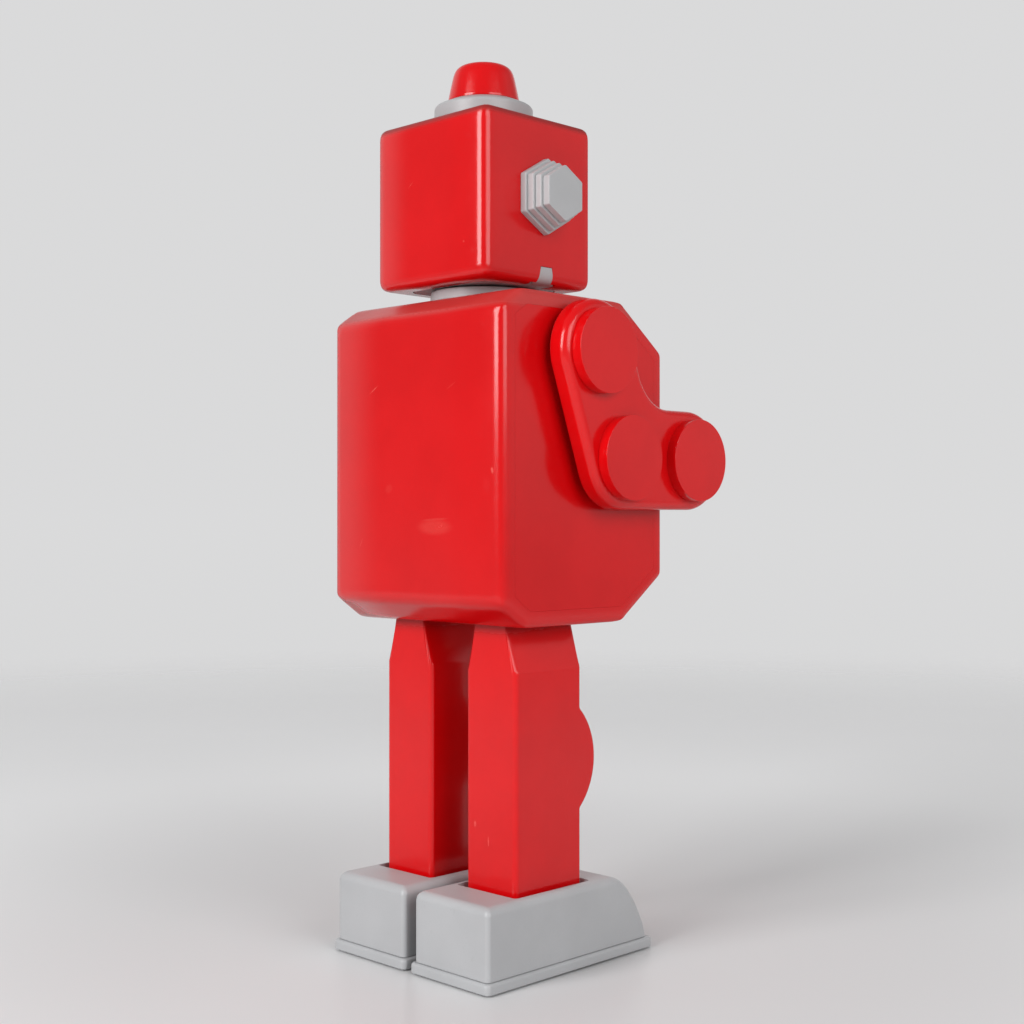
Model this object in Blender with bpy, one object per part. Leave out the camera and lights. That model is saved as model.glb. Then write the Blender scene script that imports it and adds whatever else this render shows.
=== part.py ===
"""Clockwork walking robot, about 200 mm tall.

Frame: +Z up, the robot faces -Y, its own right side is -X.  The origin is on
the floor, under the middle of the robot's bounding box.

A key on the robot's left side winds a mainspring.  The great wheel drives an
intermediate wheel, the crankshaft and a governor.  The two crank pins swing the
legs fore and aft about the hip axle in opposite phase, each foot stays flat by
turning about its ankle pin, and ratchet rollers in the soles let a foot roll
forwards only.  The arms and the head are turned by hand.

All dimensions below are in millimetres and are scaled to metres at the end.
"""
import bpy
import bmesh
import math

MM = 0.001

# ---------------------------------------------------------------- dimensions
GAP = 0.3                       # clearance kept between neighbouring pieces

# torso: an eight-sided profile in the YZ plane, extruded across X
TORSO_HW = 27.4                 # half width
TORSO_Y0, TORSO_Y1 = -20.0, 31.45
TORSO_Z0, TORSO_Z1 = 74.7, 145.4
CH_FT = (13.95, 10.4)            # chamfer at the front, top: depth, height
CH_FB = (13.6, 9.9)             # front, bottom
CH_BT = (6.0, 4.0)              # back, top
CH_BB = (7.1, 5.0)              # back, bottom
WALL = 1.3                      # torso wall

# head
HEAD_Y = 10.25                  # axis of neck, collar and cap
HEAD_HX, HEAD_HY = 17.8, 16.65
HEAD_Z0, HEAD_Z1 = 148.5, 185.2
HEAD_R = 2.4
HEAD_WALL = 1.6
EAR_Y, EAR_Z = 9.3, 167.4
EAR_A0, EAR_A1 = 8.35, 6.15     # hexagon corner radius, inner and outer end
EAR_X1 = 24.4
TOTAL_Z = 199.3

# arms
ARM_R = 11.1                    # outline radius of the plate
DISC_R = 9.15
ARM_X0, ARM_X1, ARM_X2 = 29.2, 33.9, 36.3
SHOULDER = (8.6, 132.9)
ELBOW = (0.45, 110.5)
HAND = (-22.28, 110.5)
ARM_INNER_R = 11.0              # fillet inside the elbow

# legs
LEG_X0, LEG_X1 = 5.55, 20.8
LEG_Y0, LEG_Y1 = 0.6, 21.1
LEG_Y = 11.05
LEG_Z0, LEG_TAPER_Z = 8.0, 64.9
KNEE_Z, KNEE_R = 44.8, 15.2
HIP = (11.05, 92.0)
ANKLE = (11.05, 11.0)

# feet
FOOT_X0, FOOT_X1 = 0.9, 25.0
FOOT_Y0, FOOT_Y1 = -19.1, 33.38
FOOT_Z0, FLANGE_Z1, FOOT_TOP = 0.3, 2.65, 17.9
LIP = 0.75                      # the sole plate stands out past the shell
POCKET = 1.5                    # free space round the leg in the foot

# rollers
ROLLER_R = 3.0
ROLLER_Y = (-7.5, 27.6)

# clockwork: module and tooth counts
MOD = 0.68
MOD2 = 0.60
N_GREAT, N_P1, N_W1, N_P2, N_W2, N_P3 = 28, 10, 32, 10, 28, 8
A = (-1.0, 87.5)                                  # winding arbor
_ab = MOD * (N_GREAT + N_P1) / 2
B = (-2.5, A[1] + math.sqrt(_ab ** 2 - 1.5 ** 2))  # intermediate arbor
_bc = MOD * (N_W1 + N_P2) / 2
C = (HIP[0], B[1] + math.sqrt(_bc ** 2 - (HIP[0] - B[0]) ** 2))  # crankshaft
_cd = MOD2 * (N_W2 + N_P3) / 2
D = (C[0] + _cd * math.cos(math.radians(30)), C[1] + _cd * math.sin(math.radians(30)))
P = (D[0] + 2.6, D[1] + 7.7)                      # pallet arbor
TABS = ((0.5, 4.5), (17.0, 21.0))                  # tabs of the motor plates, along Y
SWING = 5.0                                       # leg swing, degrees each way
THROW = (C[1] - HIP[1]) * math.sin(math.radians(SWING))

# ------------------------------------------------------------------ clean up
for ob in list(bpy.data.objects):
    bpy.data.objects.remove(ob, do_unlink=True)


# ----------------------------------------------------------------- materials
def material(name, rgb, rough, metal=0.0, coat=0.0, alpha_emit=None):
    m = bpy.data.materials.new(name)
    m.use_nodes = True
    b = m.node_tree.nodes["Principled BSDF"]
    b.inputs["Base Color"].default_value = (*rgb, 1)
    b.inputs["Roughness"].default_value = rough
    b.inputs["Metallic"].default_value = metal
    b.inputs["Coat Weight"].default_value = coat
    m.diffuse_color = (*rgb, 1)
    return m


RED = material("red_gloss", (0.62, 0.012, 0.02), 0.22, coat=0.6)
GREY = material("grey_satin", (0.50, 0.49, 0.48), 0.45)
STEEL = material("steel", (0.45, 0.46, 0.48), 0.32, metal=1.0)
BRASS = material("brass", (0.70, 0.48, 0.16), 0.30, metal=1.0)
BLUED = material("spring_steel", (0.12, 0.14, 0.22), 0.35, metal=1.0)
LENS = material("lens", (0.95, 0.72, 0.10), 0.12, coat=0.5)
BLACK = material("rubber", (0.03, 0.03, 0.03), 0.7)
DIAL = material("dial", (0.85, 0.84, 0.80), 0.4)


def own(mat, name):
    m = mat.copy()
    m.name = name
    return m


# ------------------------------------------------------------- shape helpers
def circle(r, n, c=(0.0, 0.0), a0=0.0):
    return [(c[0] + r * math.cos(a0 + 2 * math.pi * i / n),
             c[1] + r * math.sin(a0 + 2 * math.pi * i / n)) for i in range(n)]


def rect(u0, u1, v0, v1):
    return [(u0, v0), (u1, v0), (u1, v1), (u0, v1)]


def rounded(poly, radii, step=18.0):
    """Round each corner of a polygon with its own radius."""
    if not isinstance(radii, (list, tuple)):
        radii = [radii] * len(poly)
    out = []
    n = len(poly)
    for i in range(n):
        p0, p1, p2 = poly[i - 1], poly[i], poly[(i + 1) % n]
        r = radii[i]
        a = (p0[0] - p1[0], p0[1] - p1[1])
        b = (p2[0] - p1[0], p2[1] - p1[1])
        la, lb = math.hypot(*a), math.hypot(*b)
        a = (a[0] / la, a[1] / la)
        b = (b[0] / lb, b[1] / lb)
        half = math.acos(max(-1, min(1, a[0] * b[0] + a[1] * b[1]))) / 2
        if r <= 0 or half > math.pi / 2 - 0.01:
            out.append(p1)
            continue
        t = r / math.tan(half)
        m = (a[0] + b[0], a[1] + b[1])
        lm = math.hypot(*m)
        c = (p1[0] + m[0] / lm * r / math.sin(half), p1[1] + m[1] / lm * r / math.sin(half))
        s = math.atan2(p1[1] + a[1] * t - c[1], p1[0] + a[0] * t - c[0])
        e = math.atan2(p1[1] + b[1] * t - c[1], p1[0] + b[0] * t - c[0])
        d = (e - s + math.pi) % (2 * math.pi) - math.pi
        k = max(2, int(round(abs(math.degrees(d)) / step)))
        for j in range(k + 1):
            w = s + d * j / k
            q = (c[0] + r * math.cos(w), c[1] + r * math.sin(w))
            if not out or math.hypot(q[0] - out[-1][0], q[1] - out[-1][1]) > 1e-4:
                out.append(q)
    if math.hypot(out[0][0] - out[-1][0], out[0][1] - out[-1][1]) < 1e-4:
        out.pop()
    return out


def inset(poly, d):
    """Offset a convex counter-clockwise polygon inwards by d."""
    n = len(poly)
    lines = []
    for i in range(n):
        p, q = poly[i], poly[(i + 1) % n]
        l = math.hypot(q[0] - p[0], q[1] - p[1])
        nx, ny = -(q[1] - p[1]) / l, (q[0] - p[0]) / l
        lines.append((nx, ny, nx * p[0] + ny * p[1] + d))
    out = []
    for i in range(n):
        a, b = lines[i - 1], lines[i]
        det = a[0] * b[1] - a[1] * b[0]
        out.append(((a[2] * b[1] - a[1] * b[2]) / det, (a[0] * b[2] - a[2] * b[0]) / det))
    return out


def place(axis, a, u, v):
    return {"X": (a, u, v), "Y": (u, a, v), "Z": (u, v, a)}[axis]


def prism(axis, outer, a0, a1, holes=()):
    """Extrude an outline, with any holes, along an axis from a0 to a1."""
    a0, a1 = min(a0, a1), max(a0, a1)
    bm = bmesh.new()
    if holes:
        edges = []
        for lp in [outer] + list(holes):
            vs = [bm.verts.new(place(axis, a0, *q)) for q in lp]
            edges += [bm.edges.new((vs[i], vs[(i + 1) % len(vs)])) for i in range(len(vs))]
        bmesh.ops.triangle_fill(bm, use_beauty=True, use_dissolve=False, edges=edges)
    else:
        bm.faces.new([bm.verts.new(place(axis, a0, *q)) for q in outer])
    ext = bmesh.ops.extrude_face_region(bm, geom=bm.faces[:])
    vs = [g for g in ext["geom"] if isinstance(g, bmesh.types.BMVert)]
    bmesh.ops.translate(bm, verts=vs, vec=place(axis, a1 - a0, 0, 0))
    bmesh.ops.recalc_face_normals(bm, faces=bm.faces)
    return bm


def loft(loops):
    """Join loops of equal length in order and close both ends."""
    bm = bmesh.new()
    rows = [[bm.verts.new(p) for p in lp] for lp in loops]
    n = len(rows[0])
    for r0, r1 in zip(rows, rows[1:]):
        for i in range(n):
            bm.faces.new((r0[i], r0[(i + 1) % n], r1[(i + 1) % n], r1[i]))
    bm.faces.new(rows[0])
    bm.faces.new(rows[-1])
    bmesh.ops.recalc_face_normals(bm, faces=bm.faces)
    return bm


def turned(axis, centre, profile, n=24, a_off=0.0):
    """A solid of revolution from (position, radius) pairs."""
    return loft([[place(axis, a, *q) for q in circle(r, n, centre, a_off)] for a, r in profile])


def ring(axis, centre, profile, n=24):
    """Revolve a closed (position, radius) profile that stays off the axis."""
    bm = bmesh.new()
    rows = [[bm.verts.new(place(axis, a, *q)) for q in circle(r, n, centre)] for a, r in profile]
    m = len(rows)
    for k in range(m):
        r0, r1 = rows[k], rows[(k + 1) % m]
        for i in range(n):
            bm.faces.new((r0[i], r0[(i + 1) % n], r1[(i + 1) % n], r1[i]))
    bmesh.ops.recalc_face_normals(bm, faces=bm.faces)
    return bm


def box(x0, x1, y0, y1, z0, z1):
    return prism("Z", rect(x0, x1, y0, y1), z0, z1)


def bevel(bm, r, seg, pick=lambda e: True):
    edges = [e for e in bm.edges if pick(e)]
    bmesh.ops.bevel(bm, geom=edges, offset=r, offset_type="OFFSET", segments=seg,
                    profile=0.5, affect="EDGES", clamp_overlap=True)
    return bm


def put(name, bm, mat, pivot=(0, 0, 0), sharp=30):
    """Turn a mesh in millimetres into a named object whose origin is at pivot."""
    for v in bm.verts:
        v.co = (v.co.x - pivot[0], v.co.y - pivot[1], v.co.z - pivot[2])
    bmesh.ops.scale(bm, vec=(MM, MM, MM), verts=bm.verts)
    me = bpy.data.meshes.new(name)
    bm.to_mesh(me)
    bm.free()
    me.materials.append(own(mat, name + "_mat"))
    me.shade_smooth()
    me.set_sharp_from_angle(angle=math.radians(sharp))
    ob = bpy.data.objects.new(name, me)
    ob.location = [c * MM for c in pivot]
    bpy.context.scene.collection.objects.link(ob)
    return ob


_tool = [0]


def boole(ob, bm, op="DIFFERENCE", solver="EXACT"):
    """Cut or join a tool body, given in world millimetres, with a modifier."""
    _tool[0] += 1
    bmesh.ops.scale(bm, vec=(MM, MM, MM), verts=bm.verts)
    me = bpy.data.meshes.new("tool%03d" % _tool[0])
    bm.to_mesh(me)
    bm.free()
    t = bpy.data.objects.new(me.name, me)
    bpy.context.scene.collection.objects.link(t)
    t.hide_render = True
    t.display_type = "WIRE"
    m = ob.modifiers.new(me.name, "BOOLEAN")
    m.operation = op
    m.solver = solver
    m.object = t
    return ob


def cyl(axis, centre, r, a0, a1, n=20):
    return prism(axis, circle(r, n, centre), a0, a1)


def gear(n, mod, tooth_angle):
    """Outline of a spur wheel with a tooth centred on tooth_angle."""
    rp = n * mod / 2
    tip, root = rp + 0.60 * mod, rp - 0.85 * mod
    pitch = 2 * math.pi / n
    pts = []
    for k in range(n):
        a = tooth_angle + k * pitch
        for da, r in ((-0.25, root), (-0.095, tip), (0.095, tip), (0.25, root)):
            pts.append((r * math.cos(a + da * pitch), r * math.sin(a + da * pitch)))
    return pts


def shift(poly, c):
    return [(p[0] + c[0], p[1] + c[1]) for p in poly]


def angle(p, q):
    return math.atan2(q[1] - p[1], q[0] - p[0])


SIDES = (("right", -1), ("left", 1))

# --------------------------------------------------------------------- torso
profile = [(TORSO_Y0 + CH_FB[0], TORSO_Z0), (TORSO_Y1 - CH_BB[0], TORSO_Z0),
           (TORSO_Y1, TORSO_Z0 + CH_BB[1]), (TORSO_Y1, TORSO_Z1 - CH_BT[1]),
           (TORSO_Y1 - CH_BT[0], TORSO_Z1), (TORSO_Y0 + CH_FT[0], TORSO_Z1),
           (TORSO_Y0, TORSO_Z1 - CH_FT[1]), (TORSO_Y0, TORSO_Z0 + CH_FB[1])]
shell = put("torso_shell", prism("X", rounded(profile, 1.2, 24), -TORSO_HW, TORSO_HW,
                                 [rounded(inset(profile, WALL), 0.6, 24)]), RED)
boole(shell, box(-18.0, -7.9, -1.4, 23.05, 73, 78))       # slots for the legs
boole(shell, box(7.9, 18.0, -1.4, 23.05, 73, 78))
boole(shell, cyl("Z", (0, HEAD_Y), 6.0, 142, 147, 24))     # neck hole
for s in (-1, 1):                                          # slots for the motor plates' tabs
    for y0, y1 in TABS:
        boole(shell, box(*sorted((s * 5.1, s * 6.9)), y0 - GAP, y1 + GAP, 73, 78))
for x, z in ((-6.5, 113.5), (8.0, 113.5)):                 # gauge and knob holes
    boole(shell, cyl("Y", (x, z), 1.5, -22, -16, 12))

for side, s in SIDES:
    holes = [circle(2.4, 16, SHOULDER)]
    if side == "left":
        holes.append(circle(1.6, 12, A))
    put("torso_side_" + side, prism("X", rounded(inset(profile, WALL + GAP), 0.6, 24),
                                    s * (TORSO_HW - 1.3), s * TORSO_HW, holes), RED)

# chest: a raised panel with a gauge and two knobs
fy = TORSO_Y0 - GAP
put("chest_panel", prism("Y", rounded(rect(-15.5, 15.5, 98, 127), 3.0, 30), fy - 1.6, fy,
                         [circle(1.5, 12, (-6.5, 113.5)), circle(1.5, 12, (8, 113.5))]), GREY)
py = fy - 1.6 - GAP
put("chest_gauge", turned("Y", (-6.5, 113.5), [(py + 4.6, 1.2), (py, 1.2), (py, 8.0), (py - 1.4, 8.0), (py - 2.0, 7.4),
                                               (py - 2.0, 6.5), (py - 1.2, 6.3)], 20), DIAL)
put("chest_knob", turned("Y", (8, 113.5), [(py + 4.6, 1.2), (py, 1.2), (py, 4.0), (py - 3.0, 3.4)], 16), RED)

put("neck_ring", ring("Z", (0, HEAD_Y), [(TORSO_Z1 + GAP, 6.0), (TORSO_Z1 + GAP, 12.0),
                                         (HEAD_Z0 - GAP, 12.0), (HEAD_Z0 - GAP, 6.0)], 28), GREY)

# ---------------------------------------------------------------------- head
HP = (0, HEAD_Y, HEAD_Z0)
hy0, hy1 = HEAD_Y - HEAD_HY, HEAD_Y + HEAD_HY
head = bevel(box(-HEAD_HX, HEAD_HX, hy0, hy1, HEAD_Z0, HEAD_Z1), HEAD_R, 3)
head = put("head_shell", head, RED, HP)
boole(head, box(-HEAD_HX + HEAD_WALL, HEAD_HX - HEAD_WALL, hy0 + HEAD_WALL, hy1 - HEAD_WALL,
                HEAD_Z0 + 1.6, HEAD_Z1 - HEAD_WALL))
BASE_X, BASE_Y = 12.4, 11.4
opening = rounded(rect(-BASE_X - GAP, BASE_X + GAP, HEAD_Y - BASE_Y - GAP, HEAD_Y + BASE_Y + GAP), 3.0, 30)
boole(head, prism("Z", opening, HEAD_Z0 - 1, HEAD_Z0 + 3))
TAB_Y0, TAB_Y1, TAB_Z = 6.8, 10.4, 152.1
for s in (-1, 1):                                           # notches for the clinched tabs
    boole(head, box(*sorted((s * 12.3, s * 19.3)), TAB_Y0 - GAP, TAB_Y1 + GAP, HEAD_Z0 - 1, HEAD_Z0 + 2.2))
    boole(head, box(*sorted((s * 16.0, s * 19.3)), TAB_Y0 - GAP, TAB_Y1 + GAP, HEAD_Z0 - 1, TAB_Z + GAP))
    boole(head, cyl("X", (EAR_Y, EAR_Z), 2.7, *sorted((s * 15.3, s * 19.3)), 14))
    boole(head, cyl("Y", (s * 7.2, 170.5), 3.6, hy0 - 2, hy0 + 3, 20))
boole(head, prism("Y", rect(-8, 8, 155.2, 160.8), hy0 - 2, hy0 + 3))
boole(head, cyl("Z", (0, HEAD_Y), 3.0, HEAD_Z1 - 4, HEAD_Z1 + 2, 16))

base = rounded(rect(-BASE_X, BASE_X, HEAD_Y - BASE_Y, HEAD_Y + BASE_Y), 2.7, 30)
plate = put("head_base_plate", prism("Z", base, HEAD_Z0, HEAD_Z0 + 1.3, [circle(4.4, 20, (0, HEAD_Y))]), GREY, HP)
for s in (-1, 1):
    tab = prism("Y", [(s * 11.4, HEAD_Z0), (s * 17.8, HEAD_Z0), (s * 17.8, TAB_Z), (s * 16.5, TAB_Z),
                      (s * 16.5, HEAD_Z0 + 1.3), (s * 11.4, HEAD_Z0 + 1.3)], TAB_Y0, TAB_Y1)
    boole(plate, tab, "UNION")

# riveted post: one head inside the head shell, one formed under the torso's top
put("neck_post", turned("Z", (0, HEAD_Y), [(141.7, 6.6), (142.2, 7.4), (143.5, 7.4), (143.5, 4.0), (150.3, 4.0),
                                           (150.3, 6.4), (151.7, 6.4)], 14), STEEL, HP)

for side, s in SIDES:
    put("eye_" + side, turned("Y", (s * 7.2, 170.5),
                              [(hy0 + 2.6, 3.2), (hy0 - GAP, 3.2), (hy0 - GAP, 5.0), (hy0 - 1.4, 4.8),
                               (hy0 - 2.6, 3.4), (hy0 - 3.1, 1.6)], 18), LENS, HP)

slots = [rect(x - 0.7, x + 0.7, 155.4, 160.6) for x in (-5.6, -2.8, 0.0, 2.8, 5.6)]
put("mouth_grille", prism("Y", rounded(rect(-9.5, 9.5, 153.8, 162.2), 1.5, 30), hy0 - GAP - 1.4, hy0 - GAP, slots), GREY, HP)

# ears: four hexagonal steps, each a little smaller than the last
for side, s in SIDES:
    x0 = HEAD_HX + GAP
    loops = [(15.4, 2.2), (x0, 2.2)]
    n_step = 4
    pitch = (EAR_X1 - x0) / n_step
    for k in range(n_step):
        a0 = EAR_A0 + (EAR_A1 - EAR_A0) * k / (n_step - 1)
        xa = x0 + k * pitch
        loops += [(xa, a0), (xa + pitch - 0.45, a0 - 0.15)]
        if k < n_step - 1:
            nxt = EAR_A0 + (EAR_A1 - EAR_A0) * (k + 1) / (n_step - 1)
            loops += [(xa + pitch - 0.45, nxt - 0.55), (xa + pitch, nxt - 0.55)]
    loops += [(EAR_X1, EAR_A1 - 0.5)]
    bm = loft([[(s * a, *q) for q in circle(r, 6, (EAR_Y, EAR_Z), math.pi / 6)] for a, r in loops])
    put("ear_" + side, bm, GREY, HP, 20)

zc = HEAD_Z1 + GAP
put("collar", turned("Z", (0, HEAD_Y), [(HEAD_Z1 - 3.4, 2.6), (zc, 2.6), (zc, 11.05), (189.4, 11.05), (190.8, 8.1)], 28), GREY, HP)
put("beacon_cap", turned("Z", (0, HEAD_Y), [(190.8 + GAP, 7.95), (194.5, 7.35), (197.2, 6.5), (198.6, 5.45),
                                            (TOTAL_Z, 3.2)], 24), RED, HP)

# ---------------------------------------------------------------------- arms
du = (ELBOW[0] - SHOULDER[0], ELBOW[1] - SHOULDER[1])
lu = math.hypot(*du)
du = (du[0] / lu, du[1] / lu)
nf = (du[1], -du[0])                        # normal of the upper arm, to the front
if nf[0] > 0:
    nf = (-nf[0], -nf[1])


def on_line(p, d, z):
    t = (z - p[1]) / d[1]
    return (p[0] + d[0] * t, z)


def arm_outline(r, inner_r, step=22.5):
    fr = (SHOULDER[0] + nf[0] * r, SHOULDER[1] + nf[1] * r)
    bk = (SHOULDER[0] - nf[0] * r, SHOULDER[1] - nf[1] * r)
    top = (-du[0] * r, -du[1] * r)
    poly = [(bk[0] + top[0], bk[1] + top[1]), (fr[0] + top[0], fr[1] + top[1]),
            on_line(fr, du, ELBOW[1] + r), (HAND[0] - r, HAND[1] + r), (HAND[0] - r, HAND[1] - r),
            on_line(bk, du, ELBOW[1] - r)]
    return rounded(poly, [r * 0.9999, r * 0.9999, inner_r, r * 0.9999, r * 0.9999, r], step)


for side, s in SIDES:
    ap = (s * ARM_X0, *SHOULDER)
    ends = lambda e: abs(e.verts[0].co.x - e.verts[1].co.x) < 1e-6
    bm = bevel(prism("X", arm_outline(ARM_R, ARM_INNER_R), s * ARM_X0, s * ARM_X1), 0.6, 1, ends)
    arm = put("arm_plate_" + side, bm, RED, ap)
    for c in (ELBOW, HAND):
        boole(arm, cyl("X", c, 1.5, s * (ARM_X1 - 2.6), s * (ARM_X1 + 2), 12))
    boole(arm, cyl("X", SHOULDER, 2.1, s * (ARM_X0 - 2), s * (ARM_X1 + 2), 16))
    for part, c in (("shoulder", SHOULDER), ("elbow", ELBOW), ("hand", HAND)):
        prof = [(s * (ARM_X1 + GAP), DISC_R), (s * ARM_X2, DISC_R)]
        if part != "shoulder":
            prof = [(s * (ARM_X1 - 2.2), 1.2), (s * (ARM_X1 + GAP), 1.2)] + prof
        put(part + "_disc_" + side, turned("X", c, prof, 24), RED, ap)
    # shoulder rivet: inner head, bearing, spacing collar, and the shank in the arm
    put("shoulder_rivet_" + side,
        turned("X", SHOULDER, [(s * 24.2, 3.6), (s * 24.7, 4.2), (s * 25.7, 4.2), (s * 25.7, 2.1), (s * (TORSO_HW + GAP), 2.1),
                               (s * (TORSO_HW + GAP), 5.5), (s * (ARM_X0 - GAP), 5.5), (s * (ARM_X0 - GAP), 1.8),
                               (s * ARM_X1, 1.8)], 12), STEEL, ap)

# ---------------------------------------------------------------------- legs
a_k = math.acos((LEG_Y - LEG_Y0) / KNEE_R)       # where the knee disc meets the front of the leg
knee = [(LEG_Y - KNEE_R * math.cos(w), KNEE_Z + KNEE_R * math.sin(w))
        for w in [a_k * (1 - 2 * i / 10) for i in range(11)]]
leg_profile = [(LEG_Y1, LEG_Z0), (LEG_Y1, LEG_TAPER_Z), (LEG_Y0, LEG_TAPER_Z)] + knee + [(LEG_Y0, LEG_Z0)]
leg_profile = leg_profile[::-1]
for side, s in SIDES:
    hp = (s * 10, *HIP)
    bm = prism("X", leg_profile, s * LEG_X0, s * LEG_X1)
    top = [f for f in bm.faces if all(abs(v.co.z - LEG_TAPER_Z) < 1e-4 for v in f.verts)]
    steps = [((8.75, 17.2), (LEG_Y0, LEG_Y1), 75.5), ((8.75, 17.2), (LEG_Y0, LEG_Y1), 79.0),
             ((9.7, 16.0), (4.0, 18.1), 79.0), ((9.7, 16.0), (4.0, 18.1), 98.5)]
    xs, ys = (LEG_X0, LEG_X1), (LEG_Y0, LEG_Y1)
    for nx, ny, z in steps:
        ext = bmesh.ops.extrude_face_region(bm, geom=top)
        bmesh.ops.delete(bm, geom=[f for f in top if f.is_valid], context="FACES_ONLY")
        top = [g for g in ext["geom"] if isinstance(g, bmesh.types.BMFace)]
        for v in {v for f in top for v in f.verts}:
            ax = nx[0] if abs(abs(v.co.x) - xs[0]) < abs(abs(v.co.x) - xs[1]) else nx[1]
            ay = ny[0] if abs(v.co.y - ys[0]) < abs(v.co.y - ys[1]) else ny[1]
            v.co = (s * ax, ay, z)
        xs, ys = nx, ny
    bmesh.ops.recalc_face_normals(bm, faces=bm.faces)
    leg = put("leg_" + side, bm, RED, hp)
    boole(leg, cyl("X", HIP, 1.8, *sorted((s * 4, s * 22)), 16))
    boole(leg, cyl("X", ANKLE, 1.5, *sorted((s * 4, s * 22)), 14))
    # steel lever on the leg's inner side: hip bore below, window for the crank pin above
    hw = 6.6
    lever = rounded([(HIP[0] - 6, 82.5), (HIP[0] + 6, 82.5), (HIP[0] + hw, C[1] + 5.4), (HIP[0] - hw, C[1] + 5.4)], 2.0, 30)
    wy, wz = 2 * THROW + 1.35, THROW + 1.45
    window = rounded(rect(C[0] - wy, C[0] + wy, C[1] - wz, C[1] + wz), 0.8, 45)
    put("drive_lever_" + side, prism("X", lever, s * 8.15, s * 9.35, [circle(1.8, 16, HIP), window]), STEEL, hp)

# ---------------------------------------------------------------------- feet
sy0, sy1 = FOOT_Y0 + LIP, FOOT_Y1 - LIP
shell_z = FLANGE_Z1 + GAP
toe = [(sy0, shell_z), (-17.5, 5.7), (-15.7, 9.4), (-12.7, 13.8), (-10.0, 16.3), (-6.2, FOOT_TOP)]
foot_side = [(sy1, shell_z), (sy1, FOOT_TOP - 1.6), (sy1 - 0.5, FOOT_TOP - 0.5), (sy1 - 1.6, FOOT_TOP)] + toe[::-1]
PX0, PX1 = LEG_X0 - POCKET, LEG_X1 + POCKET
PY0, PY1 = LEG_Y0 - POCKET, LEG_Y1 + POCKET
for side, s in SIDES:
    fp = (s * 12.8, *ANKLE)
    x0, x1 = s * (FOOT_X0 + LIP), s * (FOOT_X1 - LIP)
    bm = prism("X", foot_side, x0, x1)
    upper = lambda e: (abs(e.verts[0].co.x - e.verts[1].co.x) < 1e-6
                       and min(e.verts[0].co.z, e.verts[1].co.z) > shell_z - 1e-3
                       and abs(e.verts[0].co.z - e.verts[1].co.z) + abs(e.verts[0].co.y - e.verts[1].co.y) > 1e-6
                       and not (abs(e.verts[0].co.z - shell_z) < 1e-3 and abs(e.verts[1].co.z - shell_z) < 1e-3))
    bevel(bm, 1.2, 2, upper)
    foot = put("foot_shell_" + side, bm, GREY, fp)
    ix = sorted((s * (FOOT_X0 + LIP + 1.8), s * (FOOT_X1 - LIP - 1.8)))
    front = [(PY0 - 1.3, 0), (PY0 - 1.3, FOOT_TOP - 1.6), (-6.0, FOOT_TOP - 1.9), (-9.3, 14.9), (-11.7, 12.6),
             (-14.3, 8.6), (-16.0, 5.2), (sy0 + 1.5, 0)]
    boole(foot, prism("X", front, *ix))
    boole(foot, box(*ix, PY1 + 1.3, sy1 - 1.6, 0, FOOT_TOP - 1.6))
    boole(foot, box(*ix, PY0 - 1.4, PY1 + 1.4, 0, 5.0))
    boole(foot, box(*sorted((s * PX0, s * PX1)), PY0, PY1, 6.4, 22))
    boole(foot, cyl("X", ANKLE, 1.5, *sorted((s * (PX0 - 1.1), s * (PX1 + 1.1))), 14))
    boole(foot, cyl("Z", (s * 12.8, 11.05), 1.3, 4, 7, 12))
    put("ankle_pin_" + side, cyl("X", ANKLE, 1.2, s * (PX0 - 0.8), s * (PX1 + 0.8), 12), STEEL, fp)
    # sole plate: roller windows with a bearing block at each end
    outline = rounded(rect(*sorted((s * FOOT_X0, s * FOOT_X1)), FOOT_Y0, FOOT_Y1), 1.6, 30)
    wins = [rect(*sorted((s * 6.6, s * 19.0)), y - 3.5, y + 3.5) for y in ROLLER_Y]
    screws = [circle(1.3, 12, (s * 12.8, 11.05))]
    sole = put("sole_plate_" + side, prism("Z", outline, FOOT_Z0, FLANGE_Z1, wins + screws), GREY, fp)
    for y in ROLLER_Y:
        for xa, xb in ((4.3, 6.2), (19.4, 21.3)):
            boole(sole, prism("X", [(y - 2.2, 1.5), (y + 2.2, 1.5), (y + 1.3, 4.9), (y - 1.3, 4.9)], s * xa, s * xb), "UNION")
        boole(sole, cyl("X", (y, ROLLER_R), 1.15, *sorted((s * 3.9, s * 21.7)), 8))
        name = "roller_%s_%s" % ("front" if y < 0 else "rear", side)
        bm = turned("X", (y, ROLLER_R), [(s * 4.5, 0.8), (s * 6.9, 0.8), (s * 6.9, ROLLER_R),
                                         (s * 18.7, ROLLER_R), (s * 18.7, 0.8), (s * 21.1, 0.8)], 16, -math.pi / 2)
        put(name, bm, BLACK, (s * 12.8, y, ROLLER_R))
    # ratchet tongues: springy strips moulded on the sole plate, just clear of the rollers
    for y in ROLLER_Y:
        d = 1 if y < 0 else -1
        tongue = [(y + d * 3.9, 3.3), (y + d * 3.9, 3.9), (y + d * 8.6, 2.8), (y + d * 8.6, 2.0), (y + d * 7.0, 2.0)]
        boole(sole, prism("X", tongue, s * 9.5, s * 16.0), "UNION")
    boole(sole, cyl("Z", (s * 12.8, 11.05), 2.4, 0, 1.4, 16))
    put("sole_screw_" + side, turned("Z", (s * 12.8, 11.05), [(0.5, 2.1), (1.1, 2.1), (1.1, 1.0), (6.2, 1.0)], 12), STEEL, fp)

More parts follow.
